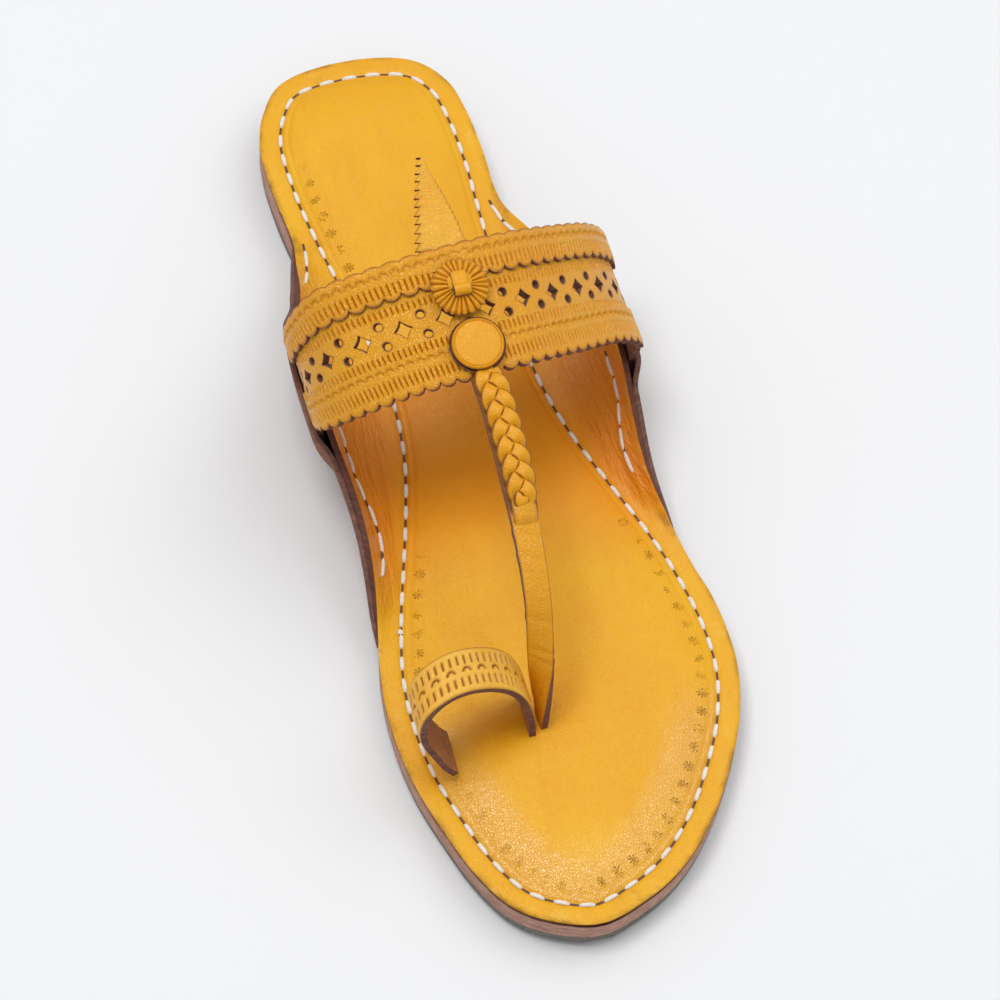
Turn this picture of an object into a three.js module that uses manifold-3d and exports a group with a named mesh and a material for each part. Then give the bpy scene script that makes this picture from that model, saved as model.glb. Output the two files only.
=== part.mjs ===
// A kolhapuri sandal for the left foot, in millimetres.
// +Z is up and the floor is z = 0. The toe points along -Y and the little-toe side is +X.
// The origin lies on the floor under the middle of the heel seat.
import * as THREE from 'three';
import { mergeVertices } from 'three/addons/utils/BufferGeometryUtils.js';
import Module from 'manifold-3d';

const wasm = await Module();
wasm.setup();

// ---------------------------------------------------------------- driving dimensions

const HEEL_Y = 30.3;            // back of the heel
const TOE_Y = -222;             // tip of the toe
const GAP = 0.3;                // clearance between neighbouring pieces

const TREAD = { forefoot: 2.6, heel: 4.0 };        // outsole thickness
const SEAT = { forefoot: 7.7, heel: 11.2 };        // height of the midsole's upper face
const TOE_SPRING = { rise: 2.0, length: 45 };
const ARCH = { rise: 1.2, front: -122, back: -42 };
const HEEL_RISE = { front: -122, back: -45 };      // stretch over which the sole thickens

const COVER = 1.5;              // footbed leather
const PAD = { rise: 2.4, blend: 17 };              // padded crown inside the seam
const SEAM_INSET = 5.3;         // seam line in from the sole's edge

const BACKING = 1.3;            // leather behind each wing
const BACKING_END = { toe: 5, heel: 6 };           // it ends short of the wing at each end
const FLANGE = 1.2;             // start of the backing, out from the seam line
const EDGE_STEP = 0.5;          // its free edge stays this far below the wing's
const STRAP_WALL = 2.0;         // instep band
const LOOP_WALL = 2.0;

// Outline of the sole: a row for each cross-section.
const SOLE = [
  { y: 27, medial: -17.2, lateral: 17.4 },
  { y: 19, medial: -23.6, lateral: 24.4 },
  { y: 9, medial: -26.8, lateral: 26.9 },
  { y: -6, medial: -26.8, lateral: 28.0 },
  { y: -22, medial: -24.9, lateral: 27.8 },
  { y: -50, medial: -20.0, lateral: 27.8 },
  { y: -72, medial: -17.2, lateral: 29.8 },
  { y: -87, medial: -18.0, lateral: 33.2 },
  { y: -102, medial: -21.2, lateral: 38.6 },
  { y: -117, medial: -25.4, lateral: 44.2 },
  { y: -132, medial: -29.6, lateral: 48.6 },
  { y: -148, medial: -32.8, lateral: 51.3 },
  { y: -162, medial: -33.3, lateral: 51.3 },
  { y: -176, medial: -31.6, lateral: 47.8 },
  { y: -190, medial: -27.8, lateral: 41.0 },
  { y: -203, medial: -23.2, lateral: 32.4 },
  { y: -212.5, medial: -17.6, lateral: 23.0 },
  { y: -218.2, medial: -10.4, lateral: 13.6 },
];
const HEEL_TIP_X = 0.2;
const TOE_TIP_X = 1.6;

// Upper edge of the footbed's two wings, where it leaves the sole at the waist.
const WING = [
  { y: -12, medialX: -26.0, medialZ: 13.0, lateralX: 27.9, lateralZ: 13.0 },
  { y: -22, medialX: -25.3, medialZ: 13.9, lateralX: 28.6, lateralZ: 14.0 },
  { y: -32, medialX: -26.5, medialZ: 17.6, lateralX: 32.2, lateralZ: 16.6 },
  { y: -41, medialX: -27.7, medialZ: 22.6, lateralX: 35.5, lateralZ: 19.8 },
  { y: -50, medialX: -29.6, medialZ: 28.0, lateralX: 38.7, lateralZ: 23.2 },
  { y: -62, medialX: -31.3, medialZ: 32.5, lateralX: 41.4, lateralZ: 26.2 },
  { y: -72, medialX: -31.9, medialZ: 33.9, lateralX: 42.4, lateralZ: 27.2 },
  { y: -82, medialX: -31.5, medialZ: 32.8, lateralX: 42.6, lateralZ: 26.0 },
  { y: -92, medialX: -30.4, medialZ: 29.8, lateralX: 42.3, lateralZ: 22.6 },
  { y: -102, medialX: -28.9, medialZ: 26.2, lateralX: 42.5, lateralZ: 18.2 },
  { y: -110, medialX: -28.0, medialZ: 22.5, lateralX: 43.4, lateralZ: 14.8 },
  { y: -118, medialX: -28.0, medialZ: 19.0, lateralX: 45.1, lateralZ: 12.0 },
  { y: -126, medialX: -28.8, medialZ: 15.2, lateralX: 46.8, lateralZ: 10.2 },
  { y: -134, medialX: -30.2, medialZ: 11.4, lateralX: 48.6, lateralZ: 9.6 },
  { y: -142, medialX: -31.9, medialZ: 9.5, lateralX: 50.6, lateralZ: 9.5 },
];

// The instep band's outer face: its front and heel edges from the inner to the outer side.
const BAND = [
  { frontX: -35.6, frontY: -91.5, frontZ: 38.5, heelX: -37.5, heelY: -68.5, heelZ: 43.0 },
  { frontX: -35.0, frontY: -96.0, frontZ: 45.0, heelX: -37.6, heelY: -71.5, heelZ: 54.0 },
  { frontX: -28.7, frontY: -99.9, frontZ: 54.2, heelX: -32.0, heelY: -73.0, heelZ: 66.6 },
  { frontX: -14.6, frontY: -101.6, frontZ: 62.2, heelX: -18.6, heelY: -73.4, heelZ: 72.2 },
  { frontX: 1.1, frontY: -101.7, frontZ: 65.2, heelX: -1.8, heelY: -72.6, heelZ: 74.4 },
  { frontX: 15.6, frontY: -98.8, frontZ: 62.6, heelX: 12.6, heelY: -69.8, heelZ: 71.4 },
  { frontX: 28.8, frontY: -93.0, frontZ: 54.4, heelX: 26.6, heelY: -64.0, heelZ: 62.0 },
  { frontX: 40.2, frontY: -86.4, frontZ: 44.2, heelX: 39.4, heelY: -56.6, heelZ: 48.4 },
  { frontX: 47.0, frontY: -82.0, frontZ: 33.4, heelX: 44.8, heelY: -52.0, heelZ: 35.6 },
];
// Where the band's ends go down between each wing and its backing.
const ROOT = {
  medial: { front: -87, heel: -58 },
  lateral: { front: -80, heel: -50 },
};
const ROOT_SHARES = [0.58, 0.8, 1];

// Toe strap: middle of its section from the band to the slit beside the loop.
const TOE_STRAP = [
  { x: 1.5, y: -97.0, z: 65.4, width: 7.4, wall: 2.0, turn: 0 },
  { x: 1.9, y: -101.5, z: 64.1, width: 7.6, wall: 2.0, turn: 0 },
  { x: 2.4, y: -105.0, z: 64.6, width: 7.8, wall: 3.2, turn: 0 },
  { x: 2.8, y: -110.0, z: 64.2, width: 8.2, wall: 4.2, turn: 0 },
  { x: 3.2, y: -118.6, z: 61.6, width: 8.2, wall: 4.2, turn: 0 },
  { x: 3.4, y: -129.0, z: 58.0, width: 7.8, wall: 4.0, turn: 0 },
  { x: 3.2, y: -137.0, z: 53.6, width: 6.8, wall: 2.8, turn: -4 },
  { x: 2.7, y: -147.0, z: 49.0, width: 6.6, wall: 2.2, turn: -8 },
  { x: 2.3, y: -154.0, z: 44.2, width: 6.5, wall: 2.2, turn: -14 },
  { x: 1.8, y: -159.0, z: 38.0, width: 6.4, wall: 2.2, turn: -24 },
  { x: 1.5, y: -162.6, z: 31.0, width: 6.4, wall: 2.2, turn: -44 },
  { x: 1.2, y: -165.0, z: 24.0, width: 6.4, wall: 2.2, turn: -68 },
  { x: 1.0, y: -166.8, z: 18.0, width: 6.4, wall: 2.2, turn: -84 },
  { x: 1.0, y: -167.2, z: 12.8, width: 6.4, wall: 2.2, turn: -90 },
];

// Pointed tail behind the band: its two edges along its length.
const TAIL = [
  { y: -77.0, z: 71.4, left: -8.0, right: 4.8 },
  { y: -72.4, z: 73.0, left: -7.6, right: 4.9 },
  { y: -66.0, z: 74.4, left: -6.2, right: 4.2 },
  { y: -58.0, z: 74.9, left: -4.4, right: 2.8 },
  { y: -51.0, z: 74.8, left: -2.5, right: 1.2 },
  { y: -45.5, z: 74.4, left: -0.7, right: 0.1 },
];
const TAIL_WALL = 1.5;

// Toe loop: outer face seen from the toe, from the outer foot over the top to the inner foot.
const LOOP = [
  { x: -23.0, z: 12.4 },
  { x: -25.3, z: 16.0 },
  { x: -27.8, z: 21.5 },
  { x: -30.3, z: 27.5 },
  { x: -31.0, z: 32.8 },
  { x: -29.3, z: 37.0 },
  { x: -25.0, z: 39.6 },
  { x: -19.0, z: 39.8 },
  { x: -12.0, z: 36.9 },
  { x: -6.6, z: 32.4 },
  { x: -3.4, z: 27.3 },
  { x: -1.7, z: 21.8 },
  { x: -1.0, z: 16.8 },
  { x: -0.9, z: 12.4 },
];
const LOOP_PLACE = { front: -171.6, width: 11.4, skew: 0.26, lean: 0.2, foot: 12 };

const BUTTON = { x: 1.4, y: -96.0, radius: 6.3, wall: 1.8 };
const FLOWER = { x: 0.3, y: -82.4, radius: 7.2, wall: 1.8, teeth: 20, notch: 0.7, knot: 3.0 };

// ---------------------------------------------------------------- small helpers

const lerp = THREE.MathUtils.lerp;
const clamp = THREE.MathUtils.clamp;

function ease(value, from, to) {
  const t = clamp((value - from) / (to - from), 0, 1);
  return t * t * (3 - 2 * t);
}

function span(from, to, count) {
  return Array.from({ length: count + 1 }, (_, i) => lerp(from, to, i / count));
}

// Smooth reading of a table's column between its rows (monotone in y, rows from heel to toe).
function column(table, name, y) {
  const last = table.length - 1;
  if (y >= table[0].y) return table[0][name];
  if (y <= table[last].y) return table[last][name];
  const i = table.findIndex((row, k) => k < last && y <= row.y && y >= table[k + 1].y);
  const row = (k) => table[clamp(k, 0, last)][name];
  const t = (y - table[i].y) / (table[i + 1].y - table[i].y);
  const curve = new THREE.CatmullRomCurve3(
    [row(i - 1), row(i), row(i + 1), row(i + 2)].map((v, k) => new THREE.Vector3(k, v, 0)),
    false, 'catmullrom', 0.5,
  );
  return curve.getPoint((1 + t) / 3).y;
}

// ---------------------------------------------------------------- the sole's own shape

// Each side of the outline is one smooth curve from the heel's back to the toe's tip.
function outlineSide(name) {
  const heel = new THREE.Vector3(HEEL_TIP_X, HEEL_Y, 0);
  const toe = new THREE.Vector3(TOE_TIP_X, TOE_Y, 0);
  const other = name === 'medial' ? 'lateral' : 'medial';
  const points = [
    new THREE.Vector3(SOLE[0][other], SOLE[0].y, 0),
    heel,
    ...SOLE.map((row) => new THREE.Vector3(row[name], row.y, 0)),
    toe,
    new THREE.Vector3(SOLE.at(-1)[other], SOLE.at(-1).y, 0),
  ];
  const curve = new THREE.CatmullRomCurve3(points, false, 'centripetal');
  const all = curve.getPoints(1600);
  return all.filter((p, i) => i / 1600 > 1 / (points.length - 1) && i / 1600 < 1 - 1 / (points.length - 1));
}

const SIDES = { medial: outlineSide('medial'), lateral: outlineSide('lateral') };

function edgeX(name, y) {
  const line = SIDES[name];
  const i = line.findIndex((p) => p.y <= y);
  if (i <= 0) return line[i < 0 ? line.length - 1 : 0].x;
  const t = (line[i - 1].y - y) / (line[i - 1].y - line[i].y);
  return lerp(line[i - 1].x, line[i].x, t);
}

function toeSpring(y) {
  const t = clamp((TOE_Y + TOE_SPRING.length - y) / TOE_SPRING.length, 0, 1);
  return TOE_SPRING.rise * t * t;
}

function floorZ(y) {
  const t = clamp((y - ARCH.front) / (ARCH.back - ARCH.front), 0, 1);
  return toeSpring(y) + ARCH.rise * Math.sin(Math.PI * t) ** 2;
}

function levelZ(level, y) {
  return lerp(level.forefoot, level.heel, ease(y, HEEL_RISE.front, HEEL_RISE.back)) + toeSpring(y);
}

const treadTopZ = (y) => levelZ(TREAD, y);
const seatZ = (y) => levelZ(SEAT, y);
const coverZ = (y) => seatZ(y) + GAP + COVER;

// Stations crowd together at the round ends.
function soleStations(count, inset = 0) {
  const tip = 0.06 + inset;
  return span(0, Math.PI, count).map((a) => (
    lerp(TOE_Y + tip, HEEL_Y - tip, (1 + Math.cos(a)) / 2)
  ));
}

function seamX(side, y) {
  const sign = side === 'medial' ? 1 : -1;
  const width = edgeX('lateral', y) - edgeX('medial', y);
  return edgeX(side, y) + sign * Math.min(SEAM_INSET, 0.4 * width);
}

function padRise(x, y) {
  const toSide = Math.min(x - seamX('medial', y), seamX('lateral', y) - x);
  const toEnd = Math.min(y - TOE_Y, HEEL_Y - y) - SEAM_INSET;
  const t = clamp(Math.min(toSide, toEnd) / PAD.blend, 0, 1);
  return PAD.rise * (1 - (1 - t) ** 2.4);
}

const inWings = (y) => y < WING[0].y && y > WING.at(-1).y;

function wingEdge(side, y) {
  if (!inWings(y)) return { x: edgeX(side, y), z: coverZ(y) };
  return { x: column(WING, `${side}X`, y), z: Math.max(column(WING, `${side}Z`, y), coverZ(y)) };
}

// A low wing's edge lies nearly level; a high one stands upright.
const edgeTilt = (rise) => THREE.MathUtils.degToRad(lerp(12, 90, ease(rise, 0, 13)));

// A wing's section is an arc: share 0 is level at the seam and share 1 is its edge.
// out moves the point outwards, square to the section.
function wingPoint(side, y, share, out = 0) {
  const seam = { x: seamX(side, y), z: coverZ(y) };
  const edge = wingEdge(side, y);
  const run = edge.x - seam.x;
  const rise = edge.z - seam.z;
  const last = edgeTilt(rise);
  const a = share * last;
  const slope = new THREE.Vector2(
    (run * Math.cos(a)) / Math.sin(last),
    (rise * Math.sin(a)) / (1 - Math.cos(last)),
  ).normalize();
  const outwards = Math.sign(run);
  return new THREE.Vector3(
    seam.x + (run * Math.sin(a)) / Math.sin(last) + out * outwards * slope.y,
    y,
    seam.z + (rise * (1 - Math.cos(a))) / (1 - Math.cos(last)) - out * Math.abs(slope.x),
  );
}

// ---------------------------------------------------------------- solids from grids

// A closed body between an upper and a lower grid of points with the same rows and columns.
function slab(upper, lower) {
  const rows = upper.length;
  const cols = upper[0].length;
  const points = [...upper.flat(), ...lower.flat()];
  const at = (layer, i, j) => layer * rows * cols + i * cols + j;
  const faces = [];
  const quad = (a, b, c, d) => faces.push(a, b, c, a, c, d);
  for (let i = 0; i < rows - 1; i += 1) {
    for (let j = 0; j < cols - 1; j += 1) {
      quad(at(0, i, j), at(0, i, j + 1), at(0, i + 1, j + 1), at(0, i + 1, j));
      quad(at(1, i, j), at(1, i + 1, j), at(1, i + 1, j + 1), at(1, i, j + 1));
    }
    quad(at(0, i, 0), at(0, i + 1, 0), at(1, i + 1, 0), at(1, i, 0));
    quad(at(0, i, cols - 1), at(1, i, cols - 1), at(1, i + 1, cols - 1), at(0, i + 1, cols - 1));
  }
  for (let j = 0; j < cols - 1; j += 1) {
    quad(at(0, 0, j), at(1, 0, j), at(1, 0, j + 1), at(0, 0, j + 1));
    quad(at(0, rows - 1, j), at(0, rows - 1, j + 1), at(1, rows - 1, j + 1), at(1, rows - 1, j));
  }
  const geometry = new THREE.BufferGeometry();
  const values = new Float32Array(points.flatMap((p) => [p.x, p.y, p.z]));
  geometry.setAttribute('position', new THREE.BufferAttribute(values, 3));
  geometry.setIndex(faces);
  return outward(geometry);
}

function signedVolume(geometry) {
  const p = geometry.getAttribute('position');
  const [a, b, c] = [new THREE.Vector3(), new THREE.Vector3(), new THREE.Vector3()];
  let volume = 0;
  for (let i = 0; i < geometry.index.count; i += 3) {
    a.fromBufferAttribute(p, geometry.index.getX(i));
    b.fromBufferAttribute(p, geometry.index.getX(i + 1));
    c.fromBufferAttribute(p, geometry.index.getX(i + 2));
    volume += a.dot(b.cross(c)) / 6;
  }
  return volume;
}

// Merges shared points, drops empty triangles and turns the faces outwards.
function outward(geometry) {
  const bare = geometry.clone();
  bare.deleteAttribute('normal');
  bare.deleteAttribute('uv');
  const merged = mergeVertices(bare, 1e-4);
  const kept = [];
  for (let i = 0; i < merged.index.count; i += 3) {
    const face = [0, 1, 2].map((k) => merged.index.getX(i + k));
    if (new Set(face).size === 3) kept.push(...face);
  }
  merged.setIndex(kept);
  if (signedVolume(merged) < 0) {
    for (let i = 0; i < kept.length; i += 3) [kept[i + 1], kept[i + 2]] = [kept[i + 2], kept[i + 1]];
    merged.setIndex(kept);
  }
  return merged;
}

// The grid moved along its own surface normals.
function offsetGrid(grid, distance) {
  const rows = grid.length;
  const cols = grid[0].length;
  return grid.map((row, i) => row.map((point, j) => {
    const along = grid[Math.min(i + 1, rows - 1)][j].clone().sub(grid[Math.max(i - 1, 0)][j]);
    const across = row[Math.min(j + 1, cols - 1)].clone().sub(row[Math.max(j - 1, 0)]);
    return point.clone().addScaledVector(along.cross(across).normalize(), distance);
  }));
}

function toManifold(geometry) {
  return new wasm.Manifold(new wasm.Mesh({
    numProp: 3,
    vertProperties: new Float32Array(geometry.getAttribute('position').array),
    triVerts: new Uint32Array(geometry.index.array),
  }));
}

function fromManifold(solid) {
  const mesh = solid.getMesh();
  const geometry = new THREE.BufferGeometry();
  geometry.setAttribute('position', new THREE.BufferAttribute(mesh.vertProperties, 3));
  geometry.setIndex(Array.from(mesh.triVerts));
  return geometry;
}

// ---------------------------------------------------------------- sole

function solePlate(stations, inset, lowerZ, upperZ) {
  const columns = [0, 0.18, 0.5, 0.82, 1];
  const grid = (height) => stations.map((y) => columns.map((t) => (
    new THREE.Vector3(lerp(edgeX('medial', y) + inset, edgeX('lateral', y) - inset, t), y, height(y))
  )));
  return slab(grid(upperZ), grid(lowerZ));
}

function outsole() {
  return solePlate(soleStations(44, 0.5), 0.5, floorZ, treadTopZ);
}

// The band's thickness opens the pocket between wing and backing over its root.
function pocket(side, y, share) {
  const { front, heel } = ROOT[side];
  const open = ease(y, front - 9, front - 1) * (1 - ease(y, heel + 1, heel + 9));
  return (STRAP_WALL + GAP) * open * ease(share, 0.17, 0.53);
}

function backing(side, clearance = 0) {
  const start = WING.at(-1).y + BACKING_END.toe - clearance;
  const end = WING[0].y - BACKING_END.heel + clearance;
  const section = (y, layer) => {
    const seam = seamX(side, y);
    const edge = wingEdge(side, y);
    const length = Math.hypot(edge.x - seam, edge.z - coverZ(y));
    const first = (FLANGE - clearance) / length;
    const last = 1 - (EDGE_STEP - clearance) / length;
    return span(first, last, 7).map((share) => {
      const inner = COVER + GAP + pocket(side, y, share) - clearance;
      return wingPoint(side, y, share, inner + layer * (BACKING + 2 * clearance));
    });
  };
  const stations = span(start, end, 28);
  return slab(stations.map((y) => section(y, 0)), stations.map((y) => section(y, 1)));
}

function midsole() {
  let solid = toManifold(solePlate(soleStations(44), 0, (y) => treadTopZ(y) + GAP, seatZ));
  for (const side of ['medial', 'lateral']) {
    solid = solid.subtract(toManifold(backing(side, GAP)));
  }
  return fromManifold(solid);
}

function footbed() {
  const shares = [1, 0.81, 0.61, 0.41, 0.21];
  const across = [0, 0.05, 0.12, 0.22, 0.36, 0.5, 0.64, 0.78, 0.88, 0.95, 1];
  const section = (y, out) => [
    ...shares.map((share) => wingPoint('medial', y, share, out)),
    ...across.map((t) => {
      const x = lerp(seamX('medial', y), seamX('lateral', y), t);
      return new THREE.Vector3(x, y, coverZ(y) - out + (out === 0 ? padRise(x, y) : 0));
    }),
    ...shares.toReversed().map((share) => wingPoint('lateral', y, share, out)),
  ];
  const stations = soleStations(48);
  return slab(stations.map((y) => section(y, 0)), stations.map((y) => section(y, COVER)));
}

// ---------------------------------------------------------------- upper

// Point on the band's outer face: u runs over the arch, v from the front edge to the heel edge.
function bandRows() {
  const root = (side, share, v) => {
    const y = lerp(ROOT[side].front, ROOT[side].heel, v);
    return wingPoint(side, y, share, COVER + GAP + STRAP_WALL);
  };
  const free = (row, v) => new THREE.Vector3(
    lerp(row.frontX, row.heelX, v), lerp(row.frontY, row.heelY, v), lerp(row.frontZ, row.heelZ, v),
  );
  return (v) => [
    ...ROOT_SHARES.map((share) => root('medial', share, v)),
    ...BAND.map((row) => free(row, v)),
    ...ROOT_SHARES.toReversed().map((share) => root('lateral', share, v)),
  ];
}

function band() {
  const rowsAt = bandRows();
  const strips = span(0, 1, 6).map((v) => (
    new THREE.CatmullRomCurve3(rowsAt(v), false, 'centripetal').getPoints(56)
  ));
  const outer = strips[0].map((_, i) => strips.map((strip) => strip[i]));
  return slab(outer, offsetGrid(outer, -STRAP_WALL));
}

// A flat strap whose width turns from across the foot to along it.
function toeStrap() {
  const steps = 34;
  const route = new THREE.CatmullRomCurve3(
    TOE_STRAP.map((row) => new THREE.Vector3(row.x, row.y, row.z)), false, 'centripetal',
  );
  const read = (name, t) => {
    const place = t * (TOE_STRAP.length - 1);
    const i = Math.min(Math.floor(place), TOE_STRAP.length - 2);
    return lerp(TOE_STRAP[i][name], TOE_STRAP[i + 1][name], place - i);
  };
  const layer = (side) => span(0, 1, steps).map((t) => {
    const centre = route.getPoint(t);
    const tangent = route.getTangent(t);
    const turn = THREE.MathUtils.degToRad(read('turn', t));
    const across = new THREE.Vector3(Math.cos(turn), Math.sin(turn), 0);
    across.addScaledVector(tangent, -across.dot(tangent)).normalize();
    const up = across.clone().cross(tangent).normalize().multiplyScalar(read('wall', t) / 2 * side);
    return [-0.5, 0.5].map((s) => (
      centre.clone().addScaledVector(across, s * read('width', t)).add(up)
    ));
  });
  return slab(layer(1), layer(-1));
}

function tail() {
  const layer = (drop) => TAIL.map((row) => [0, 0.5, 1].map((t) => (
    new THREE.Vector3(lerp(row.left, row.right, t), row.y, row.z - drop)
  )));
  return slab(layer(0), layer(TAIL_WALL));
}

function upper() {
  return fromManifold(toManifold(band()).add(toManifold(toeStrap())).add(toManifold(tail())));
}

function toeLoop() {
  const curve = new THREE.CatmullRomCurve3(
    LOOP.map((row) => new THREE.Vector3(row.x, 0, row.z)), false, 'centripetal',
  );
  const outer = curve.getPoints(40).map((p) => [0, 0.5, 1].map((v) => new THREE.Vector3(
    p.x,
    LOOP_PLACE.front + LOOP_PLACE.width * v + LOOP_PLACE.skew * p.x
      + LOOP_PLACE.lean * (p.z - LOOP_PLACE.foot),
    p.z,
  )));
  return slab(outer, offsetGrid(outer, -LOOP_WALL));
}

// ---------------------------------------------------------------- trim on the band

// Frame of the band's outer face over its middle: place, and tilt about X.
function bandSeat(x, y) {
  const middle = BAND[Math.floor(BAND.length / 2)];
  const slope = (middle.heelZ - middle.frontZ) / (middle.heelY - middle.frontY);
  return {
    position: new THREE.Vector3(x, y, middle.frontZ + slope * (y - middle.frontY)),
    tilt: Math.atan(slope),
  };
}

function discOutline(radius, teeth, notch) {
  const count = teeth > 0 ? teeth * 2 : 32;
  const points = Array.from({ length: count }, (_, i) => {
    const a = (2 * Math.PI * i) / count;
    const r = radius - (teeth > 0 && i % 2 ? notch : 0);
    return new THREE.Vector2(r * Math.cos(a), r * Math.sin(a));
  });
  return new THREE.Shape(points);
}

function disc({ radius, wall, teeth = 0, notch = 0, knot = 0 }) {
  const options = { depth: wall, bevelEnabled: false };
  const plate = outward(new THREE.ExtrudeGeometry(discOutline(radius, teeth, notch), options));
  if (!knot) return plate;
  const dome = new THREE.SphereGeometry(knot, 16, 10);
  dome.scale(1, 0.75, 0.6);
  dome.translate(0, 0, wall);
  return fromManifold(toManifold(plate).add(toManifold(outward(dome))));
}

// ---------------------------------------------------------------- assembly

const LEATHER = { yellow: 0xe8b232, tan: 0xaa7864, brown: 0x69402c, grey: 0x82807a };

function piece(name, geometry, color, roughness) {
  const mesh = new THREE.Mesh(
    geometry,
    new THREE.MeshStandardMaterial({ color, roughness, metalness: 0 }),
  );
  mesh.name = name;
  return mesh;
}

function trim(name, shape) {
  const mesh = piece(name, disc(shape), LEATHER.yellow, 0.5);
  const seat = bandSeat(shape.x, shape.y);
  mesh.position.copy(seat.position);
  mesh.rotation.x = seat.tilt;
  mesh.translateZ(GAP);
  return mesh;
}

const sandal = new THREE.Group();
sandal.add(
  piece('outsole', outsole(), LEATHER.grey, 0.8),
  piece('midsole', midsole(), LEATHER.tan, 0.7),
  piece('footbed', footbed(), LEATHER.yellow, 0.5),
  piece('ear_backing_medial', backing('medial'), LEATHER.brown, 0.7),
  piece('ear_backing_lateral', backing('lateral'), LEATHER.brown, 0.7),
  piece('upper', upper(), LEATHER.yellow, 0.5),
  piece('toe_loop', toeLoop(), LEATHER.yellow, 0.5),
  trim('flower', FLOWER),
  trim('button', BUTTON),
);

export default sandal;
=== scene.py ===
# %% [markdown]
# # A kolhapuri sandal, built as a sandal maker would build it
# This lesson makes one left sandal in yellow leather: a stacked sole, a moulded footbed with two raised
# wings, a punched and stamped instep band, a plaited toe strap, a toe loop, a pleated rosette and a button.
# The CAD model gives the frame: every piece below is made at its true place in that frame, and
# stands for the plain CAD solid of the same part. Lengths in this lesson are millimetres until a piece is
# pressed into shape; Blender and the frame work in metres, so MM turns one into the other.
# %% Load the frame
import math

import bpy
import numpy as np
from mathutils import Matrix, Vector, kdtree


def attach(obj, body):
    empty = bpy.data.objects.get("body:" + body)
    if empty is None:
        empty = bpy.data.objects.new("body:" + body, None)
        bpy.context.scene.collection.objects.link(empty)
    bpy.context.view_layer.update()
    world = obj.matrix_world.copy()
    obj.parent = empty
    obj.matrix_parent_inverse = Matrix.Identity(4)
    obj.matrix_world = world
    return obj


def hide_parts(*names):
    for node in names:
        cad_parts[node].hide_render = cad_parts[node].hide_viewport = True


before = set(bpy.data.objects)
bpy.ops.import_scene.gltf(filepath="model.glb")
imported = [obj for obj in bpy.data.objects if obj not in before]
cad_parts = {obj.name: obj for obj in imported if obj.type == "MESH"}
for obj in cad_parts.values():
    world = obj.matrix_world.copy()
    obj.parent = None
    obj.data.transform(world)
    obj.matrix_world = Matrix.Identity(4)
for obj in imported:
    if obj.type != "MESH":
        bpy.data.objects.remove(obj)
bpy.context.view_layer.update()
MM = 0.001
print("CAD nodes:", ", ".join(sorted(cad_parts)))

# %% [markdown]
# ## The last and its sizes
# A maker starts from a pattern: the outline of the sole, the height of the wings and the run of the straps.
# Each short table below is one such pattern, read heel to toe, in millimetres. The toe points along -Y and
# the little-toe side is +X. Medial is the big-toe side and lateral the little-toe side.
# %% Patterns of the sole, the wings and the band
HEEL_Y, TOE_Y = 30.3, -222.0
GAP, COVER, BACKING = 0.3, 1.5, 1.3
SEAM_INSET = 5.3
TREAD = (2.6, 4.0)             # outsole thickness: forefoot, heel
SEAT = (7.7, 11.2)             # top of the stacked sole: forefoot, heel
PAD_RISE, PAD_BLEND = 2.4, 17.0

SOLE = {
    "y": [27, 19, 9, -6, -22, -50, -72, -87, -102, -117, -132, -148, -162, -176, -190, -203, -212.5,
          -218.2],
    "medial": [-17.2, -23.6, -26.8, -26.8, -24.9, -20.0, -17.2, -18.0, -21.2, -25.4, -29.6, -32.8, -33.3,
               -31.6, -27.8, -23.2, -17.6, -10.4],
    "lateral": [17.4, 24.4, 26.9, 28.0, 27.8, 27.8, 29.8, 33.2, 38.6, 44.2, 48.6, 51.3, 51.3, 47.8, 41.0,
                32.4, 23.0, 13.6],
}
HEEL_TIP_X, TOE_TIP_X = 0.2, 1.6
WING = {
    "y": [-12, -22, -32, -41, -50, -62, -72, -82, -92, -102, -110, -118, -126, -134, -142],
    "medial_x": [-26.0, -25.3, -26.5, -27.7, -29.6, -31.3, -31.9, -31.5, -30.4, -28.9, -28.0, -28.0, -28.8,
                 -30.2, -31.9],
    "medial_z": [13.0, 13.9, 17.6, 22.6, 28.0, 32.5, 33.9, 32.8, 29.8, 26.2, 22.5, 19.0, 15.2, 11.4, 9.5],
    "lateral_x": [27.9, 28.6, 32.2, 35.5, 38.7, 41.4, 42.4, 42.6, 42.3, 42.5, 43.4, 45.1, 46.8, 48.6, 50.6],
    "lateral_z": [13.0, 14.0, 16.6, 19.8, 23.2, 26.2, 27.2, 26.0, 22.6, 18.2, 14.8, 12.0, 10.2, 9.6, 9.5],
}
# Front edge, then heel edge, of the instep band from the big-toe side over the arch to the other side.
BAND = [
    ((-35.6, -91.5, 38.5), (-37.5, -68.5, 43.0)),
    ((-35.0, -96.0, 45.0), (-37.6, -71.5, 54.0)),
    ((-28.7, -99.9, 54.2), (-32.0, -73.0, 66.6)),
    ((-14.6, -101.6, 62.2), (-18.6, -73.4, 72.2)),
    ((1.1, -101.7, 65.2), (-1.8, -72.6, 74.4)),
    ((15.6, -98.8, 62.6), (12.6, -69.8, 71.4)),
    ((28.8, -93.0, 54.4), (26.6, -64.0, 62.0)),
    ((40.2, -86.4, 44.2), (39.4, -56.6, 48.4)),
    ((47.0, -82.0, 33.4), (44.8, -52.0, 35.6)),
]
ROOT = {"medial": (-87.0, -58.0), "lateral": (-80.0, -50.0)}
STRAP_WALL = 2.0
print("pattern rows: sole", len(SOLE["y"]), "wing", len(WING["y"]), "band", len(BAND))

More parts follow.
